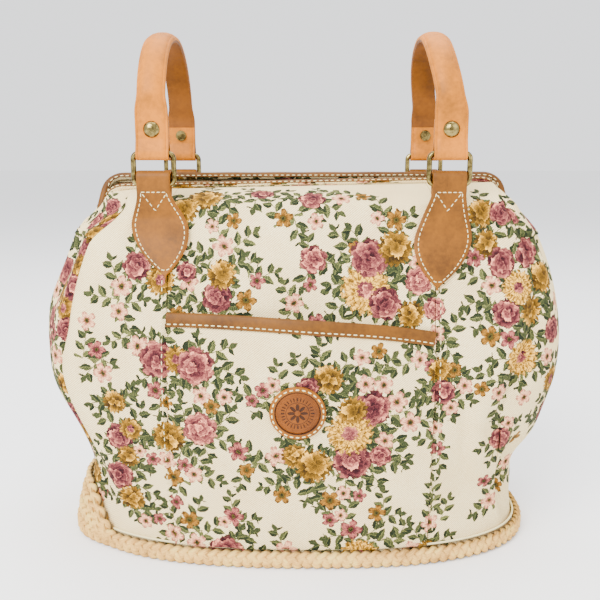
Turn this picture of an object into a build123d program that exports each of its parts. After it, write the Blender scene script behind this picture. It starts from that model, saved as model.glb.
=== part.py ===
from build123d import *
import math
import os

os.makedirs("parts", exist_ok=True)

# Carpet bag: a printed twill bag on a plaited straw base, with a hinged mouth frame and two
# leather handles, each of which runs from a ring on the front to a ring on the back.
# X is across the bag, -Y its front, Z up. The origin is the middle of the underside.

# Cloth body, as half sizes at its key heights
cloth = 1.6
seam_gap = 0.4
foot_half_width = 181.0
waist_half_width = 174.0
belly_half_width = 206.0
shoulder_half_width = 171.0
foot_half_depth = 88.0
belly_half_depth = 91.0
shoulder_half_depth = 57.0
cloth_foot = 5.5
waist_height = 50.0
belly_height = 155.0
depth_belly_height = 120.0
hinge_height = 260.0
shoulder_rise = 12.0
gusset_drop = 7.0
corner_rise = 6.0
shoulder_height = hinge_height + shoulder_rise
gusset_height = hinge_height - gusset_drop
corner_height = hinge_height + corner_rise
foot_squareness = 2.5
shoulder_squareness = 4.3
seam_x = 98.0

# Folds at the two ends, where the front cloth doubles back into the gusset
fold_share = 0.9
right_fold_shift = 0.15
right_fold_height = 130.0
right_fold_spread = 55.0
right_tuck = 10.0
right_tuck_height = 65.0
right_tuck_spread = 45.0
left_tuck = 5.0
left_tuck_height = 215.0
left_tuck_spread = 45.0
tuck_reach = 0.14
tuck_start = 40.0
gather_depth = 1.6
gather_count = 2
gather_start = 190.0

# Lining, stiffening board and straw base
lining_gap = 1.6
lining_end_gap = 13.0
lining = 0.8
lining_sides = 28
board = 3.0
board_inset = 4.0
straw_base = 5.0
rim_height = 14.0
rim_width = 9.0
rim_gap = 0.3
rim_seat = 1.0
plait_ridge = 2.2
plait_count = 84
plait_levels = 5
plait_rounds = 3
plait_round_width = 18.0
plait_groove = 1.6
plait_groove_depth = 1.2

# Hinged mouth frame: two wire bows, each in a leather binding. A corner is given by how far it
# lies inside its arm, its depth, and its height over the hinge.
wire = 3.0
binding = 6.0
bow_corner = 14.0
arm_inset = 9.8
arm_step = 5.0
front_left_inset, front_left_depth, front_left_rise = 12.0, -16.0, 25.0
front_right_inset, front_right_depth, front_right_rise = 11.0, -9.0, 31.0
rear_left_inset, rear_left_depth, rear_left_rise = 6.0, 15.0, 33.0
rear_right_inset, rear_right_depth, rear_right_rise = 7.0, 11.0, 34.0
eye = 11.0
eye_thickness = 2.0
pin = 4.0
pin_clearance = 0.05
pin_head = 6.0
pin_head_thickness = 1.2
binding_start = 8.0

# Rings, tabs and handles
ring_x = 108.0
ring_y = 60.0
ring_bar_rise = 17.0
ring_wire = 4.0
ring_inner_width = 25.4
ring_height = 26.0
ring_bar_height = shoulder_height + ring_bar_rise
top_bar = ring_bar_height + ring_height - ring_wire
ring_corner = 4.0
bar_clearance = 0.5
leather = 2.4
layer_gap = 0.2
tab_neck_width = 24.6
tab_width = 42.4
tab_neck_drop = 5.0
tab_neck_length = 27.0
tab_spade_length = 34.0
tab_neck_height = ring_bar_height - tab_neck_drop
tab_widest_height = tab_neck_height - tab_neck_length
tab_tip_height = tab_widest_height - tab_spade_length
tab_tip_shift = 9.0
tab_slot = 5.0
tab_gap = 0.9
tab_back_drop = 25.0
tab_back_height = ring_bar_height - tab_back_drop
strap_width = 24.0
strap_join_rise = 10.0
rivet_rise = 7.0
strap_end_rise = 7.0
arch_rise = 3.0
strap_join_height = top_bar + strap_join_rise
rivet_height = strap_join_height + rivet_rise
strap_fold_height = rivet_height + strap_end_rise
arch_height = strap_fold_height + arch_rise
grip_width = 20.5
grip_crown = 3.8
grip_edge = 2.2
grip_wall = 2.2
grip_lining = 1.2
grip_lining_width = 19.0
grip_gap = 0.1
rivet_cap = 12.0
rivet_dome = 3.0
rivet_flat = 2.0
rivet_post = 3.0
rivet_back = 9.0
rivet_back_thickness = 1.2
rivet_hole_clearance = 0.1

# Front pocket with its leather binding, and the round leather patch
pocket_foot = 14.0
pocket_bulge = 9.0
pocket_bulge_start = 60.0
pocket_side_gap = 2.0
pocket_foot_gap = 0.4
pocket_edge_left = 196.0
pocket_edge_middle = 193.5
pocket_edge_dip = 189.0
pocket_edge_right = 182.0
pocket_dip_x = 55.0
pocket_cut_top = 215.0
pocket_binding = 9.0
pocket_binding_leather = 1.3
trim_gap = 0.12
patch_diameter = 41.0
patch = 2.2
patch_height = 127.0
patch_x = -2.0
patch_recess = 0.7
patch_rim = 4.2
patch_ring = 1.4
patch_petals = 8
patch_petal_length = 5.5
patch_petal_width = 3.4

# Small allowances of the loose cloth edges
cloth_to_binding = 0.65
edge_lap = 0.4
corner_lap = 2.6


def ease(share):
    """Smooth step from 0 to 1."""
    share = min(max(share, 0.0), 1.0)
    return share * share * (3 - 2 * share)


def hump(value, middle, spread):
    """Bell curve, 1 at its middle."""
    return math.exp(-(((value - middle) / spread) ** 2))


def half_width(z):
    """Half width of the cloth body: foot, pinched waist, belly, shoulder."""
    if z >= belly_height:
        rise = (z - belly_height) / (shoulder_height - belly_height)
        return belly_half_width - (belly_half_width - shoulder_half_width) * rise**2
    if z >= waist_height:
        drop = (belly_height - z) / (belly_height - waist_height)
        return belly_half_width - (belly_half_width - waist_half_width) * ease(drop**1.25)
    drop = (waist_height - z) / (waist_height - cloth_foot)
    return waist_half_width + (foot_half_width - waist_half_width) * ease(drop)


def half_depth(z):
    """Half depth of the cloth body, fullest below the middle."""
    if z >= depth_belly_height:
        rise = (z - depth_belly_height) / (shoulder_height - depth_belly_height)
        return belly_half_depth - (belly_half_depth - shoulder_half_depth) * rise**2
    drop = (depth_belly_height - z) / (depth_belly_height - cloth_foot)
    return belly_half_depth - (belly_half_depth - foot_half_depth) * drop**2


def squareness(z):
    """Exponent of the rounded outline, squarer towards the shoulder."""
    return foot_squareness + (shoulder_squareness - foot_squareness) * ease(z / shoulder_height)


def face_depth(x, z, inset=0.0):
    """Distance of the front or back cloth from the middle plane, at x across."""
    a, b, n = half_width(z) - inset, half_depth(z) - inset, squareness(z)
    return b * (1 - min(abs(x) / a, 1.0) ** n) ** (1 / n)


def end_reach(y, z, inset=0.0):
    """Distance of the end cloth from the middle plane, at y along the depth."""
    a, b, n = half_width(z) - inset, half_depth(z) - inset, squareness(z)
    return a * (1 - min(abs(y) / b, 1.0) ** n) ** (1 / n)


def front_fold(side, z):
    """Share of the half width at which the front cloth folds into the gusset."""
    shift = right_fold_shift * hump(z, right_fold_height, right_fold_spread) if side > 0 else 0
    return fold_share - shift


def front_points(x_from, x_to, z, inset, rear=False, count=5):
    """Points along the front, or the back, between two places across the bag."""
    sign = 1 if rear else -1
    found = []
    for i in range(count):
        x = x_from + (x_to - x_from) * i / (count - 1)
        found.append((x, sign * face_depth(x, z, inset)))
    return found


def fold_x(side, z, inset):
    """Place across the bag of a front fold."""
    return side * front_fold(side, z) * (half_width(z) - inset)


def back_points(z, inset):
    """Points along the back, from its right fold to its left one."""
    reach = fold_share * (half_width(z) - inset)
    half = front_points(reach, 0, z, inset, rear=True)
    return half + [(-x, y) for x, y in reversed(half[:-1])]


def gusset_points(side, z, inset, margin=0.0):
    """Points round one end, from its front fold to its back fold, with tuck and gathers."""
    a, b, n = half_width(z) - inset, half_depth(z) - inset, squareness(z)
    front = -b * (1 - front_fold(side, z) ** n) ** (1 / n) + margin
    rear = b * (1 - fold_share**n) ** (1 / n) - margin
    if side > 0:
        depth = right_tuck * hump(z, right_tuck_height, right_tuck_spread)
    else:
        depth = left_tuck * hump(z, left_tuck_height, left_tuck_spread)
    depth *= ease(z / tuck_start)
    gathers = gather_depth * ease((z - gather_start) / (gusset_height - gather_start))
    count = 12
    found = []
    for i in range(count):
        share = i / (count - 1)
        y = front + (rear - front) * share
        x = end_reach(y, z, inset)
        slope_x = (x / a) ** (n - 1) / a
        slope_y = math.copysign((abs(y) / b) ** (n - 1) / b, y)
        length = math.hypot(slope_x, slope_y)
        tuck = depth * (share / tuck_reach) * math.exp(1 - share / tuck_reach)
        wave = gathers * math.sin(math.pi * share) * math.cos(2 * math.pi * gather_count * share)
        inward = tuck + wave
        found.append((side * (x - inward * slope_x / length), y - inward * slope_y / length))
    return found


def heights(low, high):
    """Section heights between two levels, close enough for the waist and the belly."""
    below, above = belly_height - waist_height, shoulder_height - belly_height
    inner = [waist_height, waist_height + 0.29 * below, waist_height + 0.62 * below]
    inner += [belly_height, belly_height + 0.34 * above, belly_height + 0.66 * above]
    return [low] + [z for z in inner if low + 12 < z < high - 8] + [high]


def even(points):
    """Curve through points at even parameters, so that lofted sections match each other."""
    shares = [i / (len(points) - 1) for i in range(len(points))]
    return Edge.make_spline([Vector(*point) for point in points], parameters=shares)


def band(outer, inner):
    """Closed outline between two open curves of matching ends."""
    add(even(outer))
    Line(outer[-1], inner[-1])
    add(even(list(reversed(inner))))
    Line(inner[0], outer[0])


def strip(name, levels, outer_at, inner_at):
    """Thin cloth piece lofted through one bent strip section at each level."""
    with BuildPart() as piece:
        for z in levels:
            with BuildSketch(Plane.XY.offset(z)):
                with BuildLine():
                    band(outer_at(z), inner_at(z))
                make_face()
        loft()
    piece.part.label = name
    return piece


def save(piece):
    """Write one finished piece under its own name."""
    export_step(piece.part, f"parts/{piece.part.label}.step")


# Cloth panels
front_levels = heights(cloth_foot, shoulder_height)
edge = seam_x - seam_gap / 2
front_centre = strip(
    "front_centre_panel",
    front_levels,
    lambda z: front_points(-edge, edge, z, 0),
    lambda z: front_points(-edge, edge, z, cloth),
)
front_left = strip(
    "front_left_panel",
    front_levels,
    lambda z: front_points(fold_x(-1, z, 0), -seam_x - seam_gap / 2, z, 0),
    lambda z: front_points(fold_x(-1, z, cloth), -seam_x - seam_gap / 2, z, cloth),
)
front_right = strip(
    "front_right_panel",
    front_levels,
    lambda z: front_points(seam_x + seam_gap / 2, fold_x(1, z, 0), z, 0),
    lambda z: front_points(seam_x + seam_gap / 2, fold_x(1, z, cloth), z, cloth),
)
back_panel = strip(
    "back_panel",
    front_levels,
    lambda z: back_points(z, 0),
    lambda z: back_points(z, cloth),
)
gusset_levels = heights(cloth_foot, gusset_height)
corner_levels = [gusset_height + edge_lap, (gusset_height + corner_height) / 2, corner_height]
gussets = {}
corners = {}
for side, word in ((-1, "left"), (1, "right")):
    gussets[word] = strip(
        f"{word}_gusset",
        gusset_levels,
        lambda z: gusset_points(side, z, 0, seam_gap),
        lambda z: gusset_points(side, z, cloth, seam_gap),
    )
    corners[word] = strip(
        f"{word}_mouth_corner",
        corner_levels,
        lambda z: gusset_points(side, z, 0, seam_gap),
        lambda z: gusset_points(side, z, cloth, seam_gap),
    )
for piece in (front_centre, front_left, front_right, back_panel, *gussets.values(), *corners.values()):
    save(piece)


def oval(a, b, n, count=24):
    """Points of a rounded outline of the given half sizes."""
    points = []
    for i in range(count):
        angle = 2 * math.pi * i / count
        c, s = math.cos(angle), math.sin(angle)
        x = a * math.copysign(abs(c) ** (2 / n), c)
        y = b * math.copysign(abs(s) ** (2 / n), s)
        points.append((x, y))
    return points


# Lining: one plain inner bag with its own floor, clear of the tucks of the outer cloth
lining_floor = straw_base + rim_gap
lining_levels = [
    lining_floor, waist_height, (waist_height + belly_height) / 2,
    belly_height, (belly_height + gusset_height) / 2, gusset_height,
]


def lining_outline(z, inset):
    """Many-sided outline of the lining at one height, moved in by the given distance."""
    a = half_width(z) - cloth - lining_end_gap - inset
    b = half_depth(z) - cloth - lining_gap - inset
    return oval(a, b, foot_squareness, lining_sides)


with BuildPart() as lining_bag:
    for z in lining_levels:
        with BuildSketch(Plane.XY.offset(z)):
            with BuildLine():
                Polyline(*lining_outline(z, 0), close=True)
            make_face()
    loft(ruled=True)
with BuildPart() as lining_space:
    for z in [lining_floor + lining] + lining_levels[1:-1] + [gusset_height + lining]:
        with BuildSketch(Plane.XY.offset(z)):
            with BuildLine():
                Polyline(*lining_outline(min(z, gusset_height), lining), close=True)
            make_face()
    loft(ruled=True)
with BuildPart() as lining_piece:
    add(lining_bag.part)
    add(lining_space.part, mode=Mode.SUBTRACT)
lining_piece.part.label = "lining"
save(lining_piece)

# Stiffening board on the lining's floor
board_foot = lining_floor + lining + rim_gap
board_a = waist_half_width - cloth - lining_end_gap - board_inset
board_b = foot_half_depth - cloth - lining_gap - board_inset
with BuildPart() as base_board:
    with BuildSketch(Plane.XY.offset(board_foot)):
        with BuildLine():
            Spline(*oval(board_a, board_b, foot_squareness), periodic=True)
        make_face()
    extrude(amount=board)
base_board.part.label = "base_board"
save(base_board)

# Straw base: rounds of plait sewn side by side, with a groove between each two
base_a = foot_half_width + rim_gap
base_b = foot_half_depth + rim_gap
with BuildPart() as straw_mat:
    with BuildSketch():
        with BuildLine():
            Spline(*oval(base_a, base_b, foot_squareness), periodic=True)
        make_face()
    extrude(amount=straw_base)
    with BuildSketch():
        for i in range(1, plait_rounds + 1):
            inset = i * plait_round_width
            with BuildLine():
                Spline(*oval(base_a - inset, base_b - inset, foot_squareness), periodic=True)
            make_face()
            inset += plait_groove
            with BuildLine():
                Spline(*oval(base_a - inset, base_b - inset, foot_squareness), periodic=True)
            make_face(mode=Mode.SUBTRACT)
    extrude(amount=plait_groove_depth, mode=Mode.SUBTRACT)
straw_mat.part.label = "straw_base"
save(straw_mat)


def plait_outline(level):
    """Ridged outline of the rim at one of its levels: the ridges lean one way, then the other."""
    share = level / (plait_levels - 1)
    swell = math.sin(math.pi * (0.18 + 0.64 * share))
    lean = 1 - abs(2 * share - 1)
    reach = rim_gap + rim_width * (0.35 + 0.65 * swell) - plait_ridge
    points = []
    for i in range(2 * plait_count):
        angle = 2 * math.pi * (i / 2 + lean / 2) / plait_count
        c, s = math.cos(angle), math.sin(angle)
        ridge = plait_ridge * swell if i % 2 else 0
        a = foot_half_width + reach + ridge
        b = foot_half_depth + reach + ridge
        x = a * math.copysign(abs(c) ** (2 / foot_squareness), c)
        y = b * math.copysign(abs(s) ** (2 / foot_squareness), s)
        points.append((x, y))
    return points


# Plaited rim round the base
with BuildPart() as plaited_rim:
    for level in range(plait_levels):
        with BuildSketch(Plane.XY.offset(rim_height * level / (plait_levels - 1))):
            with BuildLine():
                Polyline(*plait_outline(level), close=True)
            make_face()
    loft(ruled=True)
    with BuildSketch():
        with BuildLine():
            Spline(*oval(foot_half_width + rim_seat, foot_half_depth + rim_seat, foot_squareness), periodic=True)
        make_face()
    extrude(amount=rim_height, mode=Mode.SUBTRACT)
plaited_rim.part.label = "plaited_rim"
save(plaited_rim)


def pocket_gap(x, z):
    """Distance of the pocket cloth from the front panel, widest at the middle of its mouth."""
    rise = ease((z - pocket_bulge_start) / (pocket_edge_middle - pocket_bulge_start))
    across = math.cos(math.pi * x / (2 * seam_x)) ** 2
    return pocket_foot_gap + (pocket_side_gap - pocket_foot_gap + pocket_bulge * across) * rise


def pocket_points(z, out, margin=0.0):
    """Points along the pocket cloth, moved out by the given distance."""
    count = 9
    half = seam_x - seam_gap + margin
    found = []
    for i in range(count):
        x = -half + 2 * half * i / (count - 1)
        found.append((x, -face_depth(x, z) - pocket_gap(x, z) - out))
    return found


def pocket_edge(drop):
    """The wavy top edge of the pocket, as points across the front, lowered by drop."""
    return [
        (-seam_x - 4, pocket_edge_left - drop),
        (-seam_x / 2, pocket_edge_left - 0.5 - drop),
        (0, pocket_edge_middle - drop),
        (pocket_dip_x, pocket_edge_dip - drop),
        (seam_x + 4, pocket_edge_right - drop),
    ]


pocket_reach = belly_half_depth + pocket_bulge + 20
pocket_levels = [pocket_foot, 60.0, 100.0, 135.0, 165.0, 190.0, pocket_cut_top]
with BuildPart() as front_pocket:
    for z in pocket_levels:
        with BuildSketch(Plane.XY.offset(z)):
            with BuildLine():
                band(pocket_points(z, cloth), pocket_points(z, 0))
            make_face()
    loft()
    with BuildSketch(Plane.XZ):
        edge_line = pocket_edge(0)
        with BuildLine():
            Spline(*edge_line)
            Polyline(
                edge_line[-1],
                (edge_line[-1][0], pocket_cut_top + 5),
                (edge_line[0][0], pocket_cut_top + 5),
                edge_line[0],
            )
        make_face()
    extrude(amount=pocket_reach, mode=Mode.SUBTRACT)
front_pocket.part.label = "front_pocket"
save(front_pocket)

# Leather binding folded over the pocket's edge, with the slot that takes the cloth
trim_levels = pocket_levels[3:]
with BuildPart() as pocket_slot:
    for z in trim_levels:
        with BuildSketch(Plane.XY.offset(z)):
            with BuildLine():
                band(pocket_points(z, cloth + trim_gap, 2), pocket_points(z, -trim_gap, 2))
            make_face()
    loft()
    with BuildSketch(Plane.XZ):
        edge_line = pocket_edge(-trim_gap)
        with BuildLine():
            Spline(*edge_line)
            Polyline(
                edge_line[-1],
                (edge_line[-1][0], pocket_cut_top + 5),
                (edge_line[0][0], pocket_cut_top + 5),
                edge_line[0],
            )
        make_face()
    extrude(amount=pocket_reach, mode=Mode.SUBTRACT)
trim = trim_gap + pocket_binding_leather
with BuildPart() as pocket_trim:
    for z in trim_levels:
        with BuildSketch(Plane.XY.offset(z)):
            with BuildLine():
                band(pocket_points(z, cloth + trim), pocket_points(z, -trim))
            make_face()
    loft()
    with BuildSketch(Plane.XZ):
        upper, lower = pocket_edge(-trim), pocket_edge(pocket_binding)
        with BuildLine():
            Spline(*upper)
            Line(upper[-1], lower[-1])
            Spline(*reversed(lower))
            Line(lower[0], upper[0])
        make_face()
    extrude(amount=pocket_reach, mode=Mode.INTERSECT)
    add(pocket_slot.part, mode=Mode.SUBTRACT)
pocket_trim.part.label = "pocket_binding"
save(pocket_trim)

# Round leather patch on the pocket, with a stamped rosette in place of any mark
patch_slope = math.atan2(
    face_depth(patch_x, patch_height + 15) + pocket_gap(patch_x, patch_height + 15)
    - face_depth(patch_x, patch_height - 15) - pocket_gap(patch_x, patch_height - 15),
    30.0,
)
patch_seat = face_depth(patch_x, patch_height) + pocket_gap(patch_x, patch_height) + cloth
patch_plane = Plane(
    origin=(patch_x, -patch_seat - 3 * rim_gap, patch_height),
    x_dir=(1, 0, 0),
    z_dir=(0, -math.cos(patch_slope), -math.sin(patch_slope)),
)
with BuildPart() as round_patch:
    with BuildSketch(patch_plane):
        Circle(patch_diameter / 2)
    extrude(amount=patch)
    with BuildSketch(patch_plane.offset(patch)):
        Circle(patch_diameter / 2 - patch_rim)
        Circle(patch_diameter / 2 - patch_rim - patch_ring, mode=Mode.SUBTRACT)
        Circle(patch_petal_length + patch_ring * 2.5)
        Circle(patch_petal_length + patch_ring * 1.5, mode=Mode.SUBTRACT)
        with PolarLocations(patch_petal_length / 2 + 1, patch_petals):
            Ellipse(patch_petal_length / 2, patch_petal_width / 2 * 0.6)
    extrude(amount=-patch_recess, mode=Mode.SUBTRACT)
round_patch.part.label = "round_patch"
save(round_patch)


# Arms and corners of the two bows: the arms stand inside the end cloth, the rear ones outside the front ones
rear_arm_x = round(half_width(hinge_height) - arm_inset)
front_arm_x = rear_arm_x - arm_step
front_left_corner = (front_left_inset - front_arm_x, front_left_depth, hinge_height + front_left_rise)
front_right_corner = (front_arm_x - front_right_inset, front_right_depth, hinge_height + front_right_rise)
rear_left_corner = (rear_left_inset - rear_arm_x, rear_left_depth, hinge_height + rear_left_rise)
rear_right_corner = (rear_arm_x - rear_right_inset, rear_right_depth, hinge_height + rear_right_rise)


def bow_route(arm_x, left, right):
    """Corner points of one wire bow, which starts and ends beside the hinge axis."""
    start, finish = (-arm_x, 0, hinge_height), (arm_x, 0, hinge_height)
    points = []
    for foot, corner in ((start, left), (finish, right)):
        reach = math.dist(foot, corner)
        share = (eye - wire / 4) / 2 / reach
        points.append(tuple(f + (c - f) * share for f, c in zip(foot, corner)))
    return [points[0], left, right, points[1]]


def bow_part(name, arm_x, left, right):
    """Wire bow with a flat eye at each end, bored for the hinge pin."""
    route = bow_route(arm_x, left, right)
    with BuildPart() as bow:
        with BuildLine() as line:
            FilletPolyline(*route, radius=bow_corner)
        with BuildSketch(Plane(origin=line.line @ 0, z_dir=line.line % 0)):
            Circle(wire / 2)
        sweep(path=line.line)
        for x in (-arm_x, arm_x):
            with BuildSketch(Plane.YZ.offset(x - eye_thickness / 2)):
                with Locations((0, hinge_height)):
                    Circle(eye / 2)
            extrude(amount=eye_thickness)
        for x in (-arm_x, arm_x):
            with BuildSketch(Plane.YZ.offset(x - eye)):
                with Locations((0, hinge_height)):
                    Circle(pin / 2 + pin_clearance)
            extrude(amount=2 * eye, mode=Mode.SUBTRACT)
    bow.part.label = name
    return bow


def binding_part(name, arm_x, left, right):
    """Leather binding round one bow, from one arm to the other."""
    start, finish = (-arm_x, 0, hinge_height), (arm_x, 0, hinge_height)
    ends = []
    for foot, corner in ((start, left), (finish, right)):
        share = binding_start / math.dist(foot, corner)
        ends.append(tuple(f + (c - f) * share for f, c in zip(foot, corner)))
    with BuildPart() as cover:
        with BuildLine() as line:
            FilletPolyline(ends[0], left, right, ends[1], radius=bow_corner)
        with BuildSketch(Plane(origin=line.line @ 0, z_dir=line.line % 0)):
            Circle(binding / 2)
            Circle(wire / 2, mode=Mode.SUBTRACT)
        sweep(path=line.line)
    cover.part.label = name
    return cover


front_bow = bow_part("front_bow", front_arm_x, front_left_corner, front_right_corner)
rear_bow = bow_part("rear_bow", rear_arm_x, rear_left_corner, rear_right_corner)
front_binding = binding_part("front_binding", front_arm_x, front_left_corner, front_right_corner)
rear_binding = binding_part("rear_binding", rear_arm_x, rear_left_corner, rear_right_corner)
for piece in (front_bow, rear_bow, front_binding, rear_binding):
    save(piece)

# Hinge pins, headed at both ends
pin_inner = front_arm_x - eye_thickness / 2 - pin_clearance
pin_outer = rear_arm_x + eye_thickness / 2 + pin_clearance
for side, word in ((-1, "left"), (1, "right")):
    low = min(side * pin_inner, side * pin_outer)
    length = pin_outer - pin_inner
    with BuildPart() as hinge_pin:
        for start, radius, amount in (
            (low - pin_head_thickness, pin_head / 2, pin_head_thickness),
            (low, pin / 2, length),
            (low + length, pin_head / 2, pin_head_thickness),
        ):
            with BuildSketch(Plane.YZ.offset(start)):
                with Locations((0, hinge_height)):
                    Circle(radius)
            extrude(amount=amount)
    hinge_pin.part.label = f"{word}_hinge_pin"
    save(hinge_pin)


def bow_at(x, arm_x, left, right):
    """Depth and height of a bow's wire at x across, taken along its straight runs."""
    corner = left if x < 0 else right
    foot = (-arm_x if x < 0 else arm_x, 0.0, hinge_height)
    if abs(x) >= abs(corner[0]):
        share = (x - foot[0]) / (corner[0] - foot[0])
        share = min(max(share, 0.0), 1.0)
        return foot[1] + (corner[1] - foot[1]) * share, foot[2] + (corner[2] - foot[2]) * share
    share = (x - left[0]) / (right[0] - left[0])
    return left[1] + (right[1] - left[1]) * share, left[2] + (right[2] - left[2]) * share


def top_section(x, sign, bow):
    """Cloth from the shoulder over to the bow at x across, as outer and inner points."""
    bow_y, bow_z = bow_at(x, *bow)
    low = shoulder_height + edge_lap
    depth = face_depth(x, low)
    near = max(abs(bow_y) + binding / 2, eye / 2) + cloth_to_binding
    rise = bow_z - low
    span = depth - near
    outer = [
        (sign * depth, low),
        (sign * (depth - 0.1 * span), low + 0.6 * rise + 1.5),
        (sign * (depth - 0.38 * span), low + 0.92 * rise + 1.5),
        (sign * (depth - 0.7 * span), low + rise + 0.8),
        (sign * near, low + rise),
    ]
    inner = [
        (sign * (depth - cloth), low),
        (sign * (depth - 0.1 * span - cloth), low + 0.6 * rise + 0.7),
        (sign * (depth - 0.38 * span - 0.4 * cloth), low + 0.92 * rise + 1.5 - cloth),
        (sign * (depth - 0.7 * span), low + rise + 0.8 - cloth),
        (sign * near, low + rise - cloth),
    ]
    return outer, inner


top_reach = front_arm_x - front_left_inset + corner_lap
top_stations = [top_reach * share for share in (-1, -0.885, -0.62, -0.3125, 0, 0.3125, 0.62, 0.885, 1)]
for sign, name, bow in (
    (-1, "front_top_cloth", (front_arm_x, front_left_corner, front_right_corner)),
    (1, "rear_top_cloth", (rear_arm_x, rear_left_corner, rear_right_corner)),
):
    with BuildPart() as top_cloth:
        for x in top_stations:
            outer, inner = top_section(x, sign, bow)
            with BuildSketch(Plane.YZ.offset(x)):
                with BuildLine():
                    band(outer, inner)
                make_face()
        loft()
    top_cloth.part.label = name
    save(top_cloth)

# Ring tabs: leather folded over the ring's lower bar, with a spade end on the cloth
bar_reach = ring_wire / 2 + bar_clearance + leather / 2
tab_seat = leather / 2 + tab_gap
tab_inner_x = ring_x - tab_width / 2


def tab_outline(side):
    """Half points of the spade outline, from the neck to the tip, on one side of the bag."""
    neck, wide = tab_neck_width / 2, tab_width / 2
    drop = tab_neck_height - tab_tip_height

    def shifted(x, z):
        share = max(tab_neck_height - z, 0) / drop
        return (side * (ring_x + x - tab_tip_shift * share), z)

    return neck, wide, shifted


def tab_part(name, side, sign):
    """One folded tab; sign is -1 on the front and 1 on the back."""
    near, far = ring_y - bar_reach, ring_y + bar_reach
    top = ring_bar_height + tab_slot + bar_reach
    rear_low = face_depth(tab_inner_x, tab_back_height) + tab_seat
    join = rear_low + leather + layer_gap
    lower = []
    for z in (tab_back_height - 12, tab_tip_height - 2):
        lower.append((face_depth(tab_inner_x - tab_tip_shift, z) + tab_seat, z))
    route = [
        (rear_low, tab_back_height), (near, ring_bar_height - 1), (near, top), (far, top),
        (far, ring_bar_height - 1), (join, tab_back_height + 2), *lower,
    ]
    corner = bar_reach * 0.98
    neck, wide, shifted = tab_outline(side)
    loop_z = ring_bar_height + tab_slot
    with BuildPart() as tab:
        with BuildSketch(Plane.YZ):
            with BuildLine() as fold:
                FilletPolyline(
                    *[(sign * y, z) for y, z in route],
                    radius=[8, corner, corner, 8, 30, 40],
                )
            trace(fold.line, line_width=leather)
        extrude(amount=ring_x + tab_width, both=True)
        with BuildSketch(Plane.XZ):
            with BuildLine():
                Line(shifted(-neck, loop_z + 20), shifted(neck, loop_z + 20))
                Line(shifted(neck, loop_z + 20), shifted(neck, tab_neck_height))
                Spline(
                    shifted(neck, tab_neck_height),
                    shifted((neck + wide) / 2, (tab_neck_height + tab_widest_height) / 2 - 1),
                    shifted(wide, tab_widest_height),
                    shifted(wide * 0.72, tab_widest_height - 0.53 * tab_spade_length),
                    shifted(0, tab_tip_height),
                )
                Spline(
                    shifted(0, tab_tip_height),
                    shifted(-wide * 0.72, tab_widest_height - 0.53 * tab_spade_length),
                    shifted(-wide, tab_widest_height),
                    shifted(-(neck + wide) / 2, (tab_neck_height + tab_widest_height) / 2 - 1),
                    shifted(-neck, tab_neck_height),
                )
                Line(shifted(-neck, tab_neck_height), shifted(-neck, loop_z + 20))
            make_face()
        extrude(amount=2 * belly_half_depth, both=True, mode=Mode.INTERSECT)
    tab.part.label = name
    return tab


def ring_part(name, side, sign):
    """One rectangular wire ring with rounded corners, standing on its lower bar."""
    half = (ring_inner_width + ring_wire) / 2
    low, high = ring_bar_height, ring_bar_height + ring_height - ring_wire
    x = side * ring_x
    with BuildPart() as ring:
        with BuildLine(Plane.XZ.offset(-sign * ring_y)) as line:
            FilletPolyline(
                (x - half, low), (x + half, low), (x + half, high), (x - half, high),
                radius=ring_corner, close=True,
            )
        with BuildSketch(Plane(origin=line.line @ 0, z_dir=line.line % 0)):
            Circle(ring_wire / 2)
        sweep(path=line.line)
    ring.part.label = name
    return ring


for side, word in ((-1, "left"), (1, "right")):
    for sign, face in ((-1, "front"), (1, "rear")):
        save(tab_part(f"{face}_{word}_tab", side, sign))
        save(ring_part(f"{face}_{word}_ring", side, sign))

# Handles: a strap looped round the two rings, padded over the arch
layer = (leather + layer_gap) / 2
leg_y = ring_y + layer
wrap = bar_reach + layer_gap


def strap_fold(sign):
    """Route of one folded strap end, from its inner end round the bar to the arch."""
    inner, outer = sign * (ring_y - layer), sign * (ring_y + layer)
    near, far = sign * (ring_y - wrap), sign * (ring_y + wrap)
    low = top_bar - bar_reach
    return [
        (inner, strap_fold_height), (inner, strap_join_height), (near, top_bar + 1), (near, low),
        (far, low), (far, top_bar + 1), (outer, strap_join_height), (outer, arch_height),
    ]


def grip_outline(half, edge_out, crown, inner):
    """Crowned section of the grip about the strap's middle line, with outward as -Y."""
    with BuildLine() as outline:
        Line((-half, inner), (half, inner))
        Line((half, inner), (half, -edge_out))
        ThreePointArc((half, -edge_out), (0, -crown), (-half, -edge_out))
        Line((-half, -edge_out), (-half, inner))
    return outline


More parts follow.
